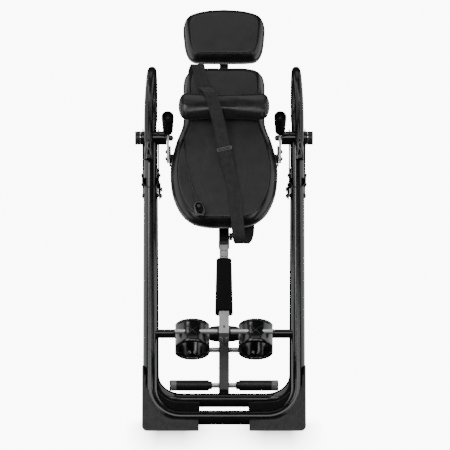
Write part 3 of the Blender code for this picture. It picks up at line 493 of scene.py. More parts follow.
def make_studio():
    world = bpy.data.worlds.new("studio")
    world.use_nodes = True
    background = world.node_tree.nodes["Background"].inputs
    background["Color"].default_value = (1.0, 1.0, 1.0, 1.0)
    background["Strength"].default_value = 0.01
    bpy.context.scene.world = world
    middle = (0.0, 0.0, 0.9)
    for side in (-1, 1):
        softbox(f"wall_{side + 1}", (side * 1.15, 0.1, 1.0), (0.0, 0.1, 1.0), (1.9, 2.6), 28)
        softbox(f"strip_{side + 1}", (side * 1.7, -2.8, 1.2), middle, (0.8, 2.6), 24)
    softbox("front", (0.0, -4.0, 2.6), middle, (2.6, 1.6), 42)
    softbox("key", (-1.9, -2.6, 3.4), middle, (1.1, 1.1), 26)
    softbox("top", (0.0, -0.2, 4.2), (0.0, 0.0, 0.0), (3.0, 2.0), 22)
    bm = bmesh.new()
    reach, near, far, rise = 60.0, -45.0, 60.0, 12.0
    rows = [(near, 0.0), (far, 0.0)]
    for step in range(1, 9):
        angle = math.pi / 2 * step / 8
        rows.append((far + rise * math.sin(angle), rise * (1 - math.cos(angle))))
    rows.append((far + rise, 60.0))
    lines = [[bm.verts.new((x, y, z)) for x in (-reach, reach)] for y, z in rows]
    for first, second in zip(lines, lines[1:]):
        bm.faces.new((*first, *reversed(second)))
    mesh = bpy.data.meshes.new("studio_floor")
    bm.to_mesh(mesh)
    bm.free()
    mesh.shade_smooth()
    # The floor: dark grey to lamps and reflections, glowing white to camera rays only. A mask dims
    # that glow into a painted shadow spreading from the front shoes towards the camera, fainter
    # between them.
    n = Nodes("white_sweep")
    n.set(Base_Color=(0.05, 0.05, 0.05, 1.0), Roughness=0.6, Specular_IOR_Level=0.1)
    place = n.add("ShaderNodeSeparateXYZ", {"Vector": n.place()}).outputs
    away = n.add("ShaderNodeMath", {0: place["X"]}, operation="ABSOLUTE").outputs[0]
    painted_shadow_mask = n.remap(place["Y"], 0.0, 1.0, -2.4, -0.5)
    edges = n.remap(away, 1.0, 0.0, 0.26, 0.4), n.remap(away, 0.45, 1.0, 0.04, 0.16)
    for value in (*edges, n.remap(place["Y"], 1.0, 0.0, -0.2, 0.2)):
        painted_shadow_mask = n.add("ShaderNodeMath", {0: painted_shadow_mask, 1: value}, operation="MULTIPLY").outputs[0]
    # Painted shadow: glow 10 where the mask is empty, 1.1 where it is full.
    bright = n.remap(painted_shadow_mask, 10.0, 1.1, 0.0, 1.0)
    seen = n.add("ShaderNodeLightPath").outputs["Is Camera Ray"]
    glow = n.add("ShaderNodeMath", {0: bright, 1: seen}, operation="MULTIPLY").outputs[0]
    n.set(Emission_Color=(1.0, 1.0, 1.0, 1.0), Emission_Strength=glow)
    mesh.materials.append(n.material)
    link("studio_floor", mesh)


# The controller's cord


def cord_points():
    """The cord's route on the bed, from the roll's lower edge to the handset."""
    knots = mm(
        (-158, -66, 43), (-158.5, -57, 32), (-159, -43, 16), (-159, -38.5, -10), (-157.5, -37.8, -60),
        (-152, -37.8, -120), (-144, -37.8, -170), (-132, -37.8, -220), (-120, -38.5, -262),
        (-110.5, -41, -289), (-106.8, -44, -305),
    )
    return [BED @ p for p in spline(knots, 6)]


def make_cord():
    points = cord_points()
    curve = bpy.data.curves.new("controller_lead", "CURVE")
    curve.dimensions = "3D"
    curve.bevel_depth = 0.002
    curve.bevel_resolution = 3
    curve.use_fill_caps = True
    line = curve.splines.new("POLY")
    line.points.add(len(points) - 1)
    for point, place in zip(line.points, points):
        point.co = (*place, 1.0)
    line.use_smooth = True
    curve.materials.append(LOOKS["cup"])
    lead = link("controller_lead", curve)
    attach(lead, "bed")
    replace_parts(lead, "controller_cord")


# The frames


def saddle_band(x):
    """The U-shaped lip round a leg joint."""
    top, middle, outer, inner = -0.17, -0.185, 0.035, 0.0318
    bm = bmesh.new()
    rings = []
    for depth in (-0.03, 0.03):
        line = [(outer, top)]
        line += [(p.x, p.z) for p in arc((0, 0, middle), outer, 360, 180, 24)]
        line += [(-outer, top), (-inner, top)]
        line += [(p.x, p.z) for p in arc((0, 0, middle), inner, 180, 360, 24)]
        line += [(inner, top)]
        rings.append([bm.verts.new((x + a, depth, b)) for a, b in line])
    return skin(bm, rings)


def u_path(top, bottom):
    bend = 0.124
    corner = LEG_X - bend
    turn_left = arc((-corner, 0.0, bottom + bend), bend, 180, 270, 16)
    turn_right = arc((corner, 0.0, bottom + bend), bend, 270, 360, 16)
    left, right = Vector((-LEG_X, 0.0, top)), Vector((LEG_X, 0.0, top))
    return [left, *turn_left, *turn_right, right]


def make_shoe(name, side, lean, body):
    """The corner shoe, with upright ribs over its front and back faces."""
    half, corner = 0.038, 0.02
    tip_x, tip_z, mid_x, mid_z, end_x = 0.316, 0.251, 0.19, 0.046, 0.1
    outline = [(end_x, 0.043), (end_x, 0.0)]
    outline += [(0.304 + p.x, 0.02 + p.z) for p in arc((0, 0, 0), corner, 270, 360, 8)]
    outline += [(0.324, tip_z)]
    for step in range(25):
        angle = math.pi / 2 * step / 24
        x = mid_x + (tip_x - mid_x) * math.cos(angle)
        outline.append((x, tip_z - (tip_z - mid_z) * math.sin(angle)))

    def at(x, y, z):
        height = z - HUB.z
        return Vector((side * x, -height * math.tan(lean) + y, height))

    bm = bmesh.new()
    rings = [[bm.verts.new(at(x, y, z)) for x, z in outline] for y in (-half, half)]
    skin(bm, rings)
    fitted(name, f"{name}_body", bm, "rubber", body, "rubber", LEVEL, bevel=0.0035)
    ribs = bmesh.new()
    pitch, width, proud = 0.0085, 0.005, 0.0011
    count = int((tip_x - end_x) / pitch)
    for k in range(count):
        x = end_x + 0.006 + pitch * k
        if x < mid_x:
            top = 0.038
        else:
            reach = min((x + width - mid_x) / (tip_x - mid_x), 1.0)
            top = tip_z - (tip_z - mid_z) * math.sqrt(max(1 - reach**2, 0.0)) - 0.008
        top = min(max(top, 0.036), tip_z - 0.012)
        for y, lift in ((-half, -proud), (half, proud)):
            low = 0.012
            corners = ((x, low), (x + width, low), (x + width, top), (x, top))
            inner = [ribs.verts.new(at(a, y - lift, b)) for a, b in corners]
            trim = 0.0008
            shrunk = ((x + trim, low + trim), (x + width - trim, low + trim))
            shrunk += ((x + width - trim, top - trim), (x + trim, top - trim))
            outer = [ribs.verts.new(at(a, y + lift, b)) for a, b in shrunk]
            skin(ribs, (inner, outer))
    shown(f"{name}_ribs", ribs, "rubber", body, "rubber", LEVEL)


def make_front_frame():
    front = "front_frame", "gloss_paint", FRONT
    bottom = -(HUB.z - FOOT_HEIGHT) / math.cos(FRONT_ANGLE)
    joint_z = -0.212
    legs = tube(u_path(joint_z, bottom), TUBE_R, 48, TUBE_BORE)
    fitted("front_u_tube", "front_u_tube_shape", legs, "paint", *front)
    z = -(HUB.z - BAR_HEIGHT) / math.cos(FRONT_ANGLE)
    bar = tube([Vector((-LEG_X + 0.022, 0, z)), Vector((LEG_X - 0.022, 0, z))], 0.0175, 40)
    fitted("front_crossbar", "crossbar_shape", bar, "paint", *front)
    profile = [(0.06, 0.0178), (-0.06, 0.0178)]
    for step in range(33):
        angle = math.pi * (1 - step / 32)
        profile.append((0.06 * math.cos(angle), 0.0205 + 0.012 * math.sin(angle) ** 0.7))
    bumper = turned(profile, (1, 0, 0), (0, 0, z), 48, closed=True)
    fitted("crossbar_bumper", "bumper_shape", bumper, "grip", "front_frame", "rubber", FRONT)
    for side, name in SIDES:
        x = side * LEG_X
        path = [Vector((x, 0, -0.012)), Vector((x, 0, joint_z + 0.0006))]
        upper = tube(path, TUBE_R, 48, TUBE_BORE)
        fitted(f"upper_leg_tube_{name}", f"upper_leg_{name}", upper, "paint", *front)
        band = saddle_band(x)
        fitted(f"leg_joint_saddle_{name}", f"leg_lip_{name}", band, "paint", *front, bevel=0.001)
        make_hub(side, name)
        make_hand_loop(side, name)
        make_leg_bolts(side, name)
        make_shoe(f"front_shoe_{name}", side, -FRONT_ANGLE, "front_frame")


def make_hub(side, name):
    edge = 0.0016
    low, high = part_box(f"hub_housing_{name}")
    near, far = sorted((abs(low.x), abs(high.x)))
    profile = [(near, 0.0104), (near, HUB_R - edge), (near + edge, HUB_R)]
    profile += [(far - edge, HUB_R), (far, HUB_R - edge), (far, 0.0104)]
    housing = turned(profile, (side, 0, 0), sides=64, closed=True)
    fitted(f"hub_housing_{name}", f"hub_{name}", housing, "paint", "front_frame", "gloss_paint", LEVEL)
    for place, size in ((near + 0.004, 0.0012), (far - 0.01, 0.001)):
        ring = [(place - size, HUB_R - 0.001), (place - size, HUB_R + 0.0004)]
        ring += [(place + size, HUB_R + 0.0004), (place + size, HUB_R - 0.001)]
        weld = turned(ring, (side, 0, 0), sides=64, closed=True)
        ring_name = f"hub_ring_{name}_{round(place * 1000)}"
        shown(ring_name, weld, "satin", "front_frame", "gloss_paint", LEVEL)


def loop_path(side):
    knots = mm(
        (302, -78.3, -83.2), (302, -66, -45), (302, -55.7, -14.7), (302, -50, 30), (301.5, -48, 95),
        (298.5, -42, 175), (293, -8, 245), (288, 52, 268), (285, 105, 235), (284, 125, 165),
        (284, 108, 98), (284, 70, 55), (284, 22, 16),
    )
    return spline([(side * x, y, z) for x, y, z in knots], 8)


def make_hand_loop(side, name):
    """The hand loop, its lower front end pressed flat where it bolts to the leg."""
    path = loop_path(side)
    foot_x, foot_y, foot_z = path[0]
    slope = 0.32
    bm = tube(path, 0.0145, 32)
    for vert in bm.verts:
        press = min(max((-0.04 - vert.co.z) / 0.022, 0.0), 1.0)
        if vert.co.y > -0.03 or press == 0.0:
            continue
        middle = foot_y + (vert.co.z - foot_z) * slope
        vert.co.y = middle + (vert.co.y - middle) * (1 - 0.55 * press)
        vert.co.x = foot_x + (vert.co.x - foot_x) * (1 + 0.14 * press)
    loop = f"hand_loop_{name}"
    fitted(loop, f"{loop}_shape", bm, "paint", "front_frame", "gloss_paint", LEVEL)
    cut = path[16:-9]
    radii = [0.0172] * len(cut)
    for k, size in enumerate((0.015, 0.0164)):
        radii[k] = radii[-1 - k] = size
    sleeve = tube(cut, radii, 40)
    sleeve_name = f"hand_sleeve_{name}"
    fitted(f"hand_loop_sleeve_{name}", sleeve_name, sleeve, "sleeve", "front_frame", "foam", LEVEL)


def make_leg_bolts(side, name):
    """The screws round the leg joint and the hub bracket."""
    x = side * LEG_X
    bm = bmesh.new()
    for way in (-1, 1):
        join(bm, dome_bolt((x + way * TUBE_R, 0, -0.15), (way, 0, 0), 0.0042, 0.0035))
    shown(f"leg_screws_{name}", bm, "zinc", "front_frame", "satin_paint", FRONT)
    foot = Vector((side * 0.302, -0.0815, -0.068))
    bolt = dome_bolt(foot + Vector((0, -0.006, 0)), (0, -1, 0.3), 0.0062, 0.0045)
    shown(f"loop_screw_{name}", bolt, "bolt", "front_frame", "satin_paint", LEVEL)
    node = f"brace_bolt_{name}"
    near, far = sorted(abs(corner.x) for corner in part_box(node))
    skin_x = LEG_X + TUBE_R
    head = dome_bolt((side * skin_x, 0, BRACE_Z), (side, 0, 0), 0.0085, far - skin_x - 0.002)
    nut = hex_nut((side * (near + 0.0085), 0, BRACE_Z), (-side, 0, 0), 0.0095, 0.0065)
    join(head, nut)
    shaft = [(near + 0.004, 0.0052), (skin_x, 0.0052)]
    join(head, turned(shaft, (side, 0, 0), (0, 0, BRACE_Z), 24))
    fitted(node, f"{node}_shape", head, "bolt", "front_frame", "satin_paint", FRONT)


def make_rear_frame():
    bottom = -(HUB.z - FOOT_HEIGHT) / math.cos(REAR_ANGLE)
    legs = tube(u_path(-0.15, bottom), TUBE_R, 48, TUBE_BORE)
    fitted("rear_u_tube", "rear_u_tube_shape", legs, "paint", "rear_frame", "gloss_paint", REAR)
    for side, name in SIDES:
        refined(f"rear_hinge_bracket_{name}", "paint", "rear_frame", "gloss_paint", 0.001)
        refined(f"fold_strut_{name}", "satin", "fold_struts", "gloss_paint", 0.0008)
        make_shoe(f"rear_shoe_{name}", side, REAR_ANGLE, "rear_frame")
        bm = bmesh.new()
        for z in (-0.178, -0.222):
            for way in (-1, 1):
                outer = LEG_X * side + way * 0.0335
                join(bm, dome_bolt((outer, 0.0, z), (way, 0, 0), *BOLT))
        shown(f"rear_bracket_bolts_{name}", bm, "bolt", "rear_frame", "satin_paint", REAR)


# The padded panels


def resample(points, count):
    """The same closed outline with evenly spread points."""
    closed = points + points[:1]
    lengths = [0.0]
    for a, b in zip(closed, closed[1:]):
        lengths.append(lengths[-1] + math.dist(a, b))
    result = []
    k = 0
    for step in range(count):
        target = lengths[-1] * step / count
        while lengths[k + 1] < target:
            k += 1
        t = (target - lengths[k]) / (lengths[k + 1] - lengths[k])
        a, b = closed[k], closed[k + 1]
        result.append((a[0] + (b[0] - a[0]) * t, a[1] + (b[1] - a[1]) * t))
    return result


def inset(outline, distance):
    """The outline moved inwards, evenly all round."""
    count = len(outline)
    area = sum(outline[i - 1][0] * p[1] - p[0] * outline[i - 1][1] for i, p in enumerate(outline))
    turn = 1 if area > 0 else -1
    result = []
    for i, (x, z) in enumerate(outline):
        a, b = outline[i - 3], outline[(i + 3) % count]
        dx, dz = b[0] - a[0], b[1] - a[1]
        size = math.hypot(dx, dz)
        result.append((x - turn * dz / size * distance, z + turn * dx / size * distance))
    return result


def outline_from(half, steps=10):
    right = [(p.x, p.y) for p in spline([(x, z, 0.0) for x, z in half], steps)]
    return right + [(-x, z) for x, z in reversed(right) if x > 0]


def backrest_outline():
    half = mm(
        (0, 316), (85, 316), (140, 299), (161, 252), (161, 140), (164, 60), (190, -20),
        (210, -110), (212, -190), (201, -265), (172, -335), (128, -380), (70, -398), (0, -400),
    )
    return outline_from(half)


def headrest_outline():
    half = mm(
        (0, 584), (80, 577), (140, 556), (162, 515), (160, 450), (151, 395), (130, 360), (90, 351),
        (0, 350),
    )
    return outline_from(half)


def seam_line(points):
    return [(p.x, p.y) for p in spline([(x, z, 0.0) for x, z in points], 24)]


def make_panel(name, outline, middle_z, profile, crown, body, node):
    """A sewn pad. profile lists (inset, y) from its back edge to its front panel's seam."""
    outline = resample(outline, OUTLINE_POINTS)
    bm = bmesh.new()
    layer_rings = []
    for depth, y in profile:
        layer_rings.append([(x, y, z) for x, z in inset(outline, depth)])
    edge_y = profile[-1][1]
    edge = layer_rings[-1]
    steps = 34
    for step in range(1, steps + 1):
        t = step / steps
        shrink = 1 - t
        ring = []
        for x, _, z in edge:
            px, pz = x * shrink, middle_z + (z - middle_z) * (shrink * 0.92 + 0.08 * shrink**2)
            lift = crown * (1 - (1 - t) ** 2)
            ring.append((px, edge_y - lift, pz))
        layer_rings.append(ring)
    rings = []
    for index, ring in enumerate(layer_rings[:-1]):
        verts = []
        for x, y, z in ring:
            if index >= len(profile) - 1:
                y += 0.0007 * noise.noise(Vector((x * 9, z * 9, 1.7)))
            verts.append(bm.verts.new((x, y, z)))
        rings.append(verts)
    # The back and side rings take slot 1, the darker band copy of the leatherette: painted shade where
    # the sides turn from the front light.
    for index, (first, second) in enumerate(zip(rings, rings[1:])):
        for face in bridge(bm, first, second):
            face.material_index = int(index < len(profile) - 2)
    last = rings[-1]
    middle = bm.verts.new((0.0, edge_y - crown, middle_z))
    for a, b in zip(last, last[1:] + last[:1]):
        bm.faces.new((a, b, middle))
    bm.faces.new(rings[0])
    surface = BVHTree.FromBMesh(bm)
    piece = shown(name, bm, "leather", body, "leatherette", BED, smooth=32)
    piece.data.materials.append(LOOKS["band"])
    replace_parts(piece, node)

    def front(x, z):
        hit = surface.ray_cast(Vector((x, -0.3, z)), Vector((0.0, 1.0, 0.0)))[0]
        return hit.y if hit else edge_y

    return front


def make_rim(name, outline, profile, key, body):
    """A band round a pad: profile is a closed loop of (inset, y)."""
    outline = resample(outline, OUTLINE_POINTS)
    bm = bmesh.new()
    rings = []
    for depth, y in profile:
        rings.append([bm.verts.new((x, y, z)) for x, z in inset(outline, depth)])
    skin(bm, rings + rings[:1], caps=False)
    slot = "leatherette" if key == "band" else "satin_paint"
    return shown(name, bm, key, body, slot, BED, smooth=50)


def make_seam(name, line, front, body):
    """A sewn join: a fine near-black line laid on the surface, painted shade where the seam's crease
    would be, with its row of stitches beside it.
    """
    path = [Vector((x, front(x, z) + 0.0001, z)) for x, z in line]
    shown(f"{name}_groove", tube(path, 0.0006, 8), "painted_shade", body, "leatherette", BED)
    make_stitches(f"{name}_stitches", [(x + 0.003, z) for x, z in line], front, body)


def make_stitches(name, line, front, body, pitch=0.0042):
    """Sewn stitches along a line of (x, z) points: short rounded threads with gaps."""
    bm = bmesh.new()
    travelled = 0.0
    due = 0.0
    for a, b in zip(line, line[1:]):
        step = math.dist(a, b)
        while due < travelled + step:
            t = (due - travelled) / step
            x, z = a[0] + (b[0] - a[0]) * t, a[1] + (b[1] - a[1]) * t
            dx, dz = (b[0] - a[0]) / step, (b[1] - a[1]) / step
            y = front(x, z)
            half = pitch * 0.34
            points = []
            for k, lift in ((-1.0, 0.0003), (-0.5, -0.0002), (0.5, -0.0002), (1.0, 0.0003)):
                points.append(Vector((x + dx * half * k, y + lift, z + dz * half * k)))
            join(bm, tube(points, 0.00042, 6))
            due += pitch
        travelled += step
    return shown(name, bm, "thread", body, "leatherette", BED)


def make_backrest():
    outline = backrest_outline()
    seams = [
        seam_line(mm((-70, -20), (-82, -80), (-94, -150), (-91, -215), (-66, -280), (-40, -312))),
        seam_line(mm((56, 40), (80, -50), (94, -140), (92, -215), (68, -280), (40, -312))),
        seam_line(mm((106, 292), (75, 262), (56, 225), (46, 160))),
        seam_line(mm((-106, 292), (-75, 262), (-56, 225), (-46, 160))),
    ]
    profile = mm((4, 12.5), (1.5, 6), (2.5, -4), (6, -13))
    profile += mm((12, -21.5), (18, -27), (23.5, -30), (26.2, -31.2), (27.2, -30))
    profile += mm((28, -30), (29, -32.2), (30.5, -33), (33, -33.4))
    front = make_panel("backrest_pad", outline, -0.05, profile, 0.003, "bed", "backrest_cushion")
    loop = mm((-1, 13.8), (-1, 7), (3, 5.5), (10, 13.8))
    make_rim("backrest_rim", outline, loop, "rim", "bed")
    refined("backrest_pan", "satin", "bed", "satin_paint", 0.0015)
    line = inset(resample(outline, OUTLINE_POINTS), 0.034)
    make_stitches("backrest_edge", line + line[:1], front, "bed")
    for k, seam in enumerate(seams):
        make_seam(f"backrest_seam_{k}", seam, front, "bed")


def make_headrest():
    outline = headrest_outline()
    seams = [
        seam_line(mm((113, 516), (98, 460), (64, 400))),
        seam_line(mm((125, 470), (112, 435), (97, 404))),
        seam_line(mm((-107, 535), (-113, 515), (-116, 498))),
    ]
    profile = mm((4, 22.5), (1.5, 15), (1, 0), (4, -12))
    profile += mm((9, -21.5), (14.5, -27.2), (19, -30.2), (21.4, -31.4), (22.2, -30.2))
    profile += mm((23, -30.2), (24, -32.4), (25.5, -33.2), (28, -33.6))
    front = make_panel("headrest_pad", outline, 0.466, profile, 0.003, "headrest", "headrest_cushion")
    loop = mm((-1, 24.5), (-1, 16), (3, 14.5), (12, 24.5))
    make_rim("headrest_rim", outline, loop, "rim", "headrest")
    refined("headrest_post", "satin", "headrest", "satin_paint", 0.0025)
    for k, seam in enumerate(seams):
        make_seam(f"headrest_seam_{k}", seam, front, "headrest")


# The lumbar roll, blown up as cloth


ROLL_Y, ROLL_Z = -0.0725, 0.105


def roll_start():
    """The roll before it is filled: an oval bar, drawn in at its ends."""
    bm = bmesh.new()
    sides, half_x = 40, 0.185
    rings = []
    for step in range(33):
        along = -1 + 2 * step / 32
        size = (1 - abs(along) ** 14) ** 0.32 * 0.97
        if step in (0, 32):
            size = 0.25
        ring = []
        for c, s in turn_steps(sides):
            y = ROLL_Y + size * 0.035 * c
            z = ROLL_Z + size * 0.056 * s
            ring.append(bm.verts.new((along * half_x, y, z)))
        rings.append(ring)
    skin(bm, rings)
    bmesh.ops.recalc_face_normals(bm, faces=bm.faces)
    return bm


def applied(piece):
    """Puts the evaluated mesh in place of the piece's own, and drops its modifiers."""
    bpy.context.view_layer.update()
    graph = bpy.context.evaluated_depsgraph_get()
    mesh = bpy.data.meshes.new_from_object(piece.evaluated_get(graph))
    piece.modifiers.clear()
    piece.data = mesh


def blow_up(piece):
    """Fills the roll by pressure, as cloth."""
    cloth = piece.modifiers.new("cloth", "CLOTH")
    cloth.settings.use_pressure = True
    cloth.settings.uniform_pressure_force = 4.0
    cloth.settings.effector_weights.gravity = 0.0
    cloth.settings.tension_stiffness = 12.0
    cloth.settings.bending_stiffness = 0.4
    for number in range(1, 21):
        bpy.context.scene.frame_set(number)
    applied(piece)
    bpy.context.scene.frame_set(1)


def even_out(piece, before):
    """Smooths the filled roll, holds it near its start, and brings it to its size."""
    most, half_deep, half_tall = 0.007, 0.037, 0.0575
    axes = {"use_axis_x": True, "use_axis_y": True, "use_axis_z": True}
    even = bmesh.new()
    even.from_mesh(piece.data)
    for _ in range(14):
        bmesh.ops.smooth_vert(even, verts=even.verts, factor=0.5, **axes)
    even.to_mesh(piece.data)
    even.free()
    for vert, start in zip(piece.data.vertices, before):
        move = vert.co - start
        if move.length > most:
            move *= most / move.length
        vert.co = start + move
    deep = max(abs(vert.co.y - ROLL_Y) for vert in piece.data.vertices)
    tall = max(abs(vert.co.z - ROLL_Z) for vert in piece.data.vertices)
    for vert in piece.data.vertices:
        vert.co.y = ROLL_Y + (vert.co.y - ROLL_Y) * half_deep / deep
        vert.co.z = ROLL_Z + (vert.co.z - ROLL_Z) * half_tall / tall


def settle(piece):
    """Puckers the roll's ends, flattens its back, and presses it in under the strap."""
    flat_end, back_y, strap_half, strap_edge, clearance = 0.12, -0.0345, 0.022, 0.012, 0.0022
    strap = strap_path(10)
    for vert in piece.data.vertices:
        x, y, z = vert.co
        round_it = math.atan2(z - ROLL_Z, ROLL_Y - y)
        end = max(0.0, (abs(x) - flat_end) / 0.06)
        fold = math.sin(round_it * 9 + 3.0 * noise.noise(Vector((x * 20, 0, 4.0)))) * end
        scale = 1 - 0.035 * fold * min(end, 1.0)
        vert.co.y = ROLL_Y + (y - ROLL_Y) * scale
        vert.co.z = ROLL_Z + (z - ROLL_Z) * scale
        vert.co.y += 0.0016 * noise.noise(Vector((x * 14, y * 22, z * 22)))
        vert.co.y = min(vert.co.y, back_y)
        if vert.co.y < ROLL_Y:
            near = min(strap, key=lambda p: (p - vert.co).length_squared)
            gap = abs(vert.co.x - near.x)
            press = math.exp(-((max(gap - strap_half, 0.0) / strap_edge) ** 2))
            depth = near.y + clearance
            if vert.co.y < depth:
                vert.co.y += (depth - vert.co.y) * press


def make_roll():
    piece = shown("lumbar_roll", roll_start(), "roll", "bed", "leatherette")
    modifier = piece.modifiers.new("remesh", "REMESH")
    modifier.mode = "VOXEL"
    modifier.voxel_size = 0.0055
    applied(piece)
    before = [vert.co.copy() for vert in piece.data.vertices]
    blow_up(piece)
    even_out(piece, before)
    settle(piece)
    piece.data.transform(BED)
    modifier = piece.modifiers.new("smooth", "SUBSURF")
    modifier.levels = 1
    modifier.render_levels = 1
    applied(piece)
    piece.data.shade_smooth()
    if not piece.data.materials:
        piece.data.materials.append(LOOKS["roll"])
    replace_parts(piece, "lumbar_pillow")


# The strap and its buckle


def strap_path(steps):
    knots = mm(
        (-112, -8, 323.5), (-104, -36, 312), (-95, -38.5, 265), (-79, -43, 212), (-64, -85, 172),
        (-56.5, -107, 146), (-46, -114.2, 112), (-34, -110.5, 68), (-16, -88, 0), (2, -64, -84),
        (25, -42, -190), (43, -38.5, -280), (50, -38.5, -358), (54, -37, -405), (58, -26, -452),
        (66, 0, -470), (78, 30, -456), (92, 62, -410), (94, 92, -330), (60, 100, -220), (0, 100, -50),
        (-50, 100, 100), (-104, 88, 220), (-120, 45, 305),
    )
    return spline(knots, steps, closed=True)


def make_strap():
    """The tether strap: 50 mm webbing with rolled edges, slightly cupped."""
    path = strap_path(14)
    directions = tangents(path, closed=True)
    section = [(-1.0, 0.0), (-0.97, 0.55), (-0.9, 0.62), (-0.86, 0.5), (-0.5, 0.5), (0.0, 0.5)]
    section += [(0.5, 0.5), (0.86, 0.5), (0.9, 0.62), (0.97, 0.55), (1.0, 0.0)]
    section += [(w, -t) for w, t in reversed(section[1:-1])]
    bm = bmesh.new()
    uv = bm.loops.layers.uv.new("webbing")
    rings = []
    lengths = [0.0]
    for i, (point, direction) in enumerate(zip(path, directions)):
        across = Vector((1.0, 0.0, 0.0))
        wide = (across - across.dot(direction) * direction).normalized()
        thick = direction.cross(wide).normalized()
        ring = []
        for w, t in section:
            ripple = 0.0006 * noise.noise(Vector((w, i * 0.11, 0.0)))
            ring.append(bm.verts.new(point + wide * w * 0.025 + thick * (t * 0.0021 + ripple)))
        rings.append(ring)
        lengths.append(lengths[-1] + (path[(i + 1) % len(path)] - point).length)
    count = len(section)
    for i in range(len(rings)):
        first, second = rings[i], rings[(i + 1) % len(rings)]
        for k in range(count):
            after = (k + 1) % count
            face = bm.faces.new((first[k], first[after], second[after], second[k]))
            left, right = section[k][0] * 2.5, section[after][0] * 2.5
            low, high = lengths[i] * 100, lengths[i + 1] * 100
            corners = ((left, low), (right, low), (right, high), (left, high))
            for loop, corner in zip(face.loops, corners):
                loop[uv].uv = corner
    fitted("tether_strap", "tether_webbing", bm, "webbing", "bed", "webbing", BED, smooth=60)
    make_buckle()


def make_buckle():
    """The wire tri-glide: a rounded frame and its middle bar."""
    centre = Vector((0.002, -0.0668, -0.084))
    direction = Vector((0.022, 0.0215, -0.095)).normalized()
    across = Vector((1.0, 0.0, 0.0))
    wide = (across - across.dot(direction) * direction).normalized()
    half_wide, half_high, corner = 0.0285, 0.006, 0.003
    flat = []
    for sx, sz, start in ((1, 1, 0), (-1, 1, 90), (-1, -1, 180), (1, -1, 270)):
        for step in range(6):
            angle = math.radians(start + 90 * step / 5)
            x = sx * (half_wide - corner) + corner * math.cos(angle)
            z = sz * (half_high - corner) + corner * math.sin(angle)
            flat.append((x, z))
    ring = [centre + wide * x - direction * z for x, z in flat]
    bm = tube(ring + ring[:2], 0.0012, 12)
    join(bm, tube([centre - wide * half_wide, centre + wide * half_wide], 0.0012, 12))
    fitted("strap_buckle", "buckle_wire", bm, "rim", "bed", "silver_steel", BED)


# The handset


def make_handset():
    lean = Matrix.Rotation(math.radians(-13.0), 4, "Y")
    turn = BED @ Matrix.Translation((-0.098, -0.0455, -0.345)) @ lean
    half_x, half_z = 0.023, 0.039

    def oval(rings):
        bm = bmesh.new()
        made = []
        for size, y in rings:
            spots = [(half_x * size * c, y, half_z * size * s) for c, s in turn_steps(64)]
            made.append([bm.verts.new(spot) for spot in spots])
        return skin(bm, made)

    shell = [(0.86, 0.009), (0.94, 0.0082), (0.99, 0.005), (1.0, 0.0), (0.98, -0.004)]
    shell += [(0.93, -0.0075), (0.86, -0.0098), (0.79, -0.0108), (0.74, -0.011), (0.72, -0.01)]
    plastic = "bed", "black_plastic", turn
    body = fitted("controller_handset", "handset_body", oval(shell), "cup", *plastic)
    trim = [(0.74, -0.009), (0.75, -0.0109), (0.72, -0.0112), (0.69, -0.0094)]
    rim = shown("handset_rim", oval(trim), "rim", *plastic)
    plate = [(0.72, -0.007), (0.7, -0.0092), (0.66, -0.0096), (0.3, -0.0098)]
    face = shown("handset_plate", oval(plate), "face", *plastic)
    profile = mm((8, 0), (8, 7.2), (10.2, 7.2), (11, 6.4), (11.2, 5), (10.8, 0))
    button = turned(profile, (0, -1, 0), (0, 0, 0.01), 40)
    fitted("handset_button", "handset_key", button, "face", "handset_button", "grey_plastic", turn)
    bm = bmesh.new()
    for x in (-0.006, 0.0, 0.006):
        lamp = turned(mm((8.5, 1.3), (9.9, 1.3), (10.1, 0.8)), (0, -1, 0), (x, 0, -0.01), 16)
        join(bm, lamp)
    lamps = shown("handset_lamps", bm, "moulded", "bed", "grey_plastic", turn)
    profile = mm((0, 4.2), (6, 4), (18, 3), (26, 2.4))
    sleeve = turned(profile, (0.0, 0.05, 1.0), (0.0, 0.0, 0.0365), 24)
    relief = shown("strain_relief", sleeve, "moulded", *plastic)
    return [body, rim, face, relief, lamps]


# The bed's metal


def end_round(place, radius, fillet):
    """A quarter round at the outer end of a turned profile."""
    angles = [math.pi / 2 * step / 6 for step in range(7)]
    return [(place + fillet * math.sin(a), radius - fillet * (1 - math.cos(a))) for a in angles]


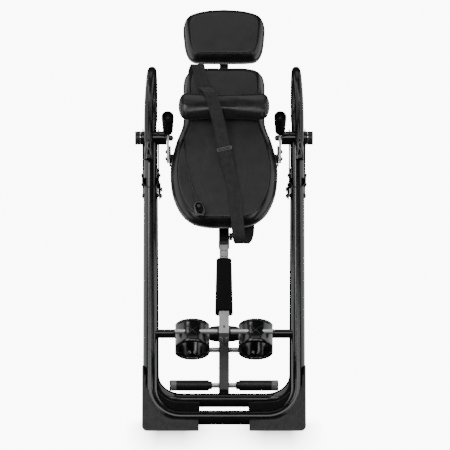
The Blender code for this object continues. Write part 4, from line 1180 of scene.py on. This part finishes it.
def make_bed_metal():
    for side, name in SIDES:
        profile = [(0.336, 0.0), (0.336, HUB_R - 0.0006), (0.3354, HUB_R), (0.3334, HUB_R)]
        profile += [(0.3328, HUB_R - 0.0006), (0.3328, 0.01), (0.2192, 0.01), (0.2192, 0.0)]
        shaft = turned(profile, (side, 0, 0))
        node = f"pivot_shaft_{name}"
        fitted(node, f"{node}_shape", shaft, "polished", "bed", "silver_steel", LEVEL)
        profile = mm((220, 0), (220, 11.8), (212, 11.8))
        for step in range(1, 9):
            angle = math.pi / 2 * step / 8
            radius = 0.0118 * math.cos(angle) if step < 8 else 0.0
            profile.append((0.212 - 0.01 * math.sin(angle), radius))
        knob = turned(profile, (side, 0, 0), sides=32)
        shown(f"shaft_nut_{name}", knob, "bolt", "bed", "satin_paint", LEVEL)
        profile = [(0.3362, 0.0), (0.3362, HUB_R), (0.352, HUB_R)]
        profile += end_round(0.352, HUB_R, 0.004)
        profile += mm((356, 17), (354.8, 16), (354.8, 0))
        cap = turned(profile, (side, 0, 0), sides=64)
        fitted(f"hub_end_cap_{name}", f"end_cap_{name}", cap, "moulded", "bed", "black_plastic", LEVEL)
        refined(f"pivot_arm_{name}", "plate", "bed", "silver_steel", 0.0004)
        make_bed_grip(side, name)
        bm = bmesh.new()
        for z in (-0.06, -0.092):
            join(bm, dome_bolt((side * 0.2285, 0.004, z), (side, 0, 0), *BOLT))
        shown(f"arm_bolts_{name}", bm, "bolt", "bed", "satin_paint", BED)
    refined("bed_cross_member", "satin", "bed", "satin_paint", 0.002)
    refined("bed_spine", "paint", "bed", "gloss_paint", 0.003)
    refined("receiver_bushing", "satin", "bed", "grey_paint", 0.0015)
    bm = bmesh.new()
    for z in (0.235, -0.372):
        for x in (-0.032, 0.032):
            join(bm, dome_bolt((x, 0.0225, z + 0.02), (0, 1, 0), *BOLT))
    shown("pan_screws", bm, "zinc", "bed", "satin_paint", BED)


def make_bed_grip(side, name):
    """The waisted foam grip, with a rolled rim round its dished end."""
    points = mm((50, 11), (52, 15), (58, 18.7), (70, 20.5), (90, 21.2))
    points += mm((120, 22.6), (150, 24), (174, 24.5))
    profile = [(p.x, p.y) for p in spline([(a, b, 0.0) for a, b in points], 5)]
    profile += mm((180, 24.5), (183, 24.2), (184.6, 23.4), (185.2, 22.2), (184.8, 21))
    profile += mm((182.6, 20.2), (170, 19.8), (169, 0))
    middle = side * 0.224
    grip = turned(profile, (0, -1, 0), (middle, 0, 0))
    # A near-black disc at the bottom of the dished end: painted shade in the hollow.
    painted_hollow_shade = turned(mm((168.8, 0), (168.8, 19.6), (169.2, 19.6), (169.4, 0)), (0, -1, 0), (middle, 0, 0))
    shown(f"bed_grip_{name}_plug", painted_hollow_shade, "painted_shade", "bed", "foam", BED)
    fitted(f"bed_grip_{name}", f"bed_grip_{name}_shape", grip, "foam", "bed", "foam", BED)


# The boom, ankle holder and footrest


def make_boom():
    refined("boom_tube", "silver", "boom", "silver_steel", 0.0022)
    refined("foot_post", "grey", "boom", "grey_paint", 0.0022)
    bm = bmesh.new()
    front = SPINE_Y - 0.018
    first_z, spacing, half_x, half_z = -0.478, 0.027, 0.0042, 0.0011
    for k in range(12):
        z = first_z - spacing * k
        for x in (-0.007, 0.007):
            low = (x - half_x, front - 0.00025, z - half_z)
            join(bm, box(low, (x + half_x, front + 0.001, z + half_z)))
    shown("height_marks", bm, "bolt", "boom", "satin_paint", BED)
    for name, reach, z, body, y in (
        ("rear_ankle_tube", 0.15, ANKLE_Z, "boom", SPINE_Y),
        ("footrest_bar", 0.2, FOOTREST_Z, "boom", SPINE_Y),
        ("front_ankle_tube", 0.196, ANKLE_Z, "ankle_carriage", LEVER_Y),
    ):
        profile = [(-reach, 0.0), (-reach, 0.0088), (-reach + 0.001, 0.0098)]
        profile += [(reach - 0.001, 0.0098), (reach, 0.0088), (reach, 0.0)]
        bar = turned(profile, (1, 0, 0), (0, y, z), 40)
        fitted(name, f"{name}_shape", bar, "silver", body, "silver_steel", BED)
    for side, name in SIDES:
        make_foot_grip(side, name)
        make_front_cup(name, side)
        make_rear_cup(name, side)
    nuts = bmesh.new()
    for side in (-1, 1):
        join(nuts, hex_nut((side * 0.0205, SPINE_Y, FOOTREST_Z), (side, 0, 0), 0.0105, 0.006))
        join(nuts, hex_nut((side * 0.0205, SPINE_Y, ANKLE_Z), (side, 0, 0), 0.0105, 0.005))
    shown("post_nuts", nuts, "zinc", "boom", "satin_paint", BED)


def make_foot_grip(side, name):
    """The footrest grip: rings moulded round it, an end knob and a collar."""
    profile = mm((47, 10), (47, 15), (48, 15.8), (59, 15.8), (59.6, 20.5))
    place, pitch = 0.064, 0.0086
    while place < 0.176:
        rib = mm((0, 21.4), (6.6, 21.4), (7.1, 21), (8, 21))
        profile += [(place + distance, radius) for distance, radius in rib]
        place += pitch
    profile += mm((186, 21.3), (187, 20.8))
    profile += [*end_round(0.211, 0.0208, 0.004), (0.2152, 0.0)]
    line = (side, 0, 0), (0, SPINE_Y, FOOTREST_Z), 48
    grip = turned(profile, *line)
    fitted(f"footrest_grip_{name}", f"foot_grip_{name}", grip, "grip", "boom", "rubber", BED)
    cap = turned(mm((211.2, 21.2), (188, 21.2), (188, 15), (211.2, 15)), *line, closed=True)
    shown(f"foot_grip_cap_{name}", cap, "rim", "boom", "rubber", BED)


def swept_cup(section, centre, facing, reach, steps=48):
    """Turns an (outward, height) section about an upright line through centre."""
    bm = bmesh.new()
    rings = []
    widest = max(r for r, _ in section)
    middle = (widest + min(r for r, _ in section)) / 2
    for step in range(steps + 1):
        s = -1 + 2 * step / steps
        angle = math.radians(facing + reach * s)
        close = 1 - max(0.0, abs(s) - 0.96) / 0.04 * 0.15
        out = Vector((math.cos(angle), math.sin(angle), 0.0))
        ring = []
        for r, z in section:
            r += max(widest - 0.0004 - r, 0.0) * abs(s) ** 1.6 if r > middle else 0.0
            spot = Vector(centre) + out * (middle + (r - middle) * close)
            ring.append(bm.verts.new(spot + Vector((0.0, 0.0, z * close))))
        rings.append(ring)
    return skin(bm, rings)


def make_front_cup(name, side):
    """The calf cup: a lens-shaped shell with a raised cross, between two rolled lips."""
    node = f"front_ankle_cup_{name}"
    centre = Vector((side * CUP_X, -0.0417, ANKLE_Z))
    high, lip, wall, bore = 0.049, 0.069, 0.0618, 0.051
    half = [(bore, 0.0), (bore, 0.032), (bore + 0.0012, high - 0.003), (bore + 0.004, high)]
    half += [(lip - 0.0045, high + 0.0006), (lip - 0.0012, high - 0.001), (lip, high - 0.0045)]
    half += [(lip - 0.001, high - 0.008), (wall - 0.0006, high - 0.0115), (wall - 0.0004, 0.02)]
    half += [(wall + 0.0006, 0.01), (wall + 0.0008, -0.008), (wall + 0.0018, -0.024)]
    half += [(lip - 0.0012, -0.038), (lip - 0.0002, -0.043)]
    half += [(lip - 0.002, -high + 0.0006), (lip - 0.005, -high)]
    section = half + [(bore + 0.004, -high), (bore + 0.001, -high + 0.003), (bore, -0.03)]
    shell = swept_cup(section, centre, -90, 84)
    for way in (-1, 1):
        ridge = []
        for step in range(17):
            t = -1 + step / 8
            angle = math.radians(-90 + 24 * t)
            rise = way * 0.022 * t
            out = Vector((math.cos(angle), math.sin(angle), 0.0))
            ridge.append(centre + out * (wall + 0.0008 - 0.0012 * t * t) + Vector((0.0, 0.0, rise)))
        join(shell, tube(ridge, 0.0013, 12))
    fitted(node, f"{node}_shape", shell, "cup", "ankle_carriage", "cup_plastic", BED, smooth=40)


def make_rear_cup(name, side):
    """The heel cup: an open glossy bowl, screwed to its tube through the inside."""
    node = f"rear_ankle_cup_{name}"
    centre = Vector((side * CUP_X, 0.0018, ANKLE_Z))
    high, lip, bore = 0.048, 0.069, 0.053
    section = [(bore, 0.0), (bore, 0.03), (bore + 0.001, high - 0.002), (bore + 0.003, high)]
    section += [(lip - 0.004, high), (lip - 0.001, high - 0.0012), (lip, high - 0.0045), (lip, 0.0)]
    section += [(lip, -high + 0.009), (lip - 0.0015, -high + 0.003), (lip - 0.005, -high + 0.0004)]
    section += [(lip - 0.008, -high), (bore + 0.002, -high)]
    section += [(bore + 0.0004, -high + 0.0022), (bore, -0.03)]
    shell = swept_cup(section, centre, 90, 84)
    fitted(node, f"{node}_shape", shell, "cup", "boom", "cup_plastic", BED, smooth=40)
    screws = bmesh.new()
    for way in (-1, 1):
        angle = math.radians(90 + way * 11)
        out = Vector((math.cos(angle), math.sin(angle), 0.0))
        spot = centre + out * (bore + 0.0004) + Vector((0.0, 0.0, -0.02))
        join(screws, dome_bolt(spot, -out, 0.0044, 0.0026))
    shown(f"{node}_screws", screws, "zinc", "boom", "satin_paint", BED)


# The lever grip's height on the bed, half width and half depth, row by row
GRIP_ROWS = mm(
    (-831, 29, 22.5), (-830.4, 32.2, 25.6), (-828, 34.3, 27.4), (-824, 35.1, 27.9), (-800, 34.8, 27.9),
    (-620, 30.8, 27.9), (-604.5, 30.4, 27.6), (-600.5, 29.4, 26.6), (-598.5, 27.2, 24.4),
    (-598, 24, 21),
)


def make_lever_grip():
    """The lever's long grip: a tapered block of foam with softly rounded edges."""
    bm = bmesh.new()
    rings = []
    power = 0.32
    for z, half_x, half_y in GRIP_ROWS:
        ring = []
        for c, s in turn_steps(48):
            x = half_x * math.copysign(abs(c) ** power, c)
            y = LEVER_Y + half_y * math.copysign(abs(s) ** power, s)
            ring.append(bm.verts.new((x, y, z)))
        rings.append(ring)
    skin(bm, rings)
    fitted("lever_grip", "lever_grip_shape", bm, "foam", "ankle_carriage", "foam", BED, smooth=50)


def make_carriage():
    refined("lever_bar", "silver", "ankle_carriage", "silver_steel", 0.0025)
    make_lever_grip()
    bm = dome_bolt((0, -0.1072, -0.9), (0, -1, 0), 0.0052, 0.0032, False)
    for side in (-1, 1):
        join(bm, hex_nut((side * 0.02, LEVER_Y, ANKLE_Z), (side, 0, 0), 0.0125, 0.006))
    shown("lever_bolts", bm, "bolt", "ankle_carriage", "satin_paint", BED)
    for side, name in SIDES:
        profile = mm((193.5, 10), (196.5, 10), (198.5, 8.5), (198.5, 0))
        cap = turned(profile, (side, 0, 0), (0, LEVER_Y, ANKLE_Z), 32)
        shown(f"ankle_tube_cap_{name}", cap, "moulded", "ankle_carriage", "black_plastic", BED)


def make_pull_pin():
    """The pin's barrel on the receiver, and its knob."""
    line = (1, 0, 0), (0, SPINE_Y, PIN_Z)
    profile = mm((21.3, 5.3), (21.3, 14.5), (21.9, 15), (31.7, 15), (33.3, 13.8), (33.3, 5.3))
    barrel = turned(profile, *line, closed=True)
    fitted("pull_pin_housing", "pin_barrel", barrel, "moulded", "bed", "black_plastic", BED)
    profile = mm((18.3, 0), (18.3, 3.8), (19.3, 4.8), (33.6, 4.8), (33.6, 8), (34.6, 8.8))
    profile += mm((43.6, 8.8), (45.1, 10.2), (48.6, 10.2), (49.6, 9), (49.6, 0))
    pin = turned(profile, *line, 40)
    fitted("pull_pin", "pin_knob", pin, "polished", "pull_pin", "silver_steel", BED)


def main():
    make_camera()
    make_studio()
    LOOKS.update(make_materials())
    handset = make_handset()
    make_cord()
    make_front_frame()
    make_rear_frame()
    make_bed_metal()
    make_backrest()
    make_headrest()
    make_roll()
    make_strap()
    make_boom()
    make_carriage()
    make_pull_pin()


main()
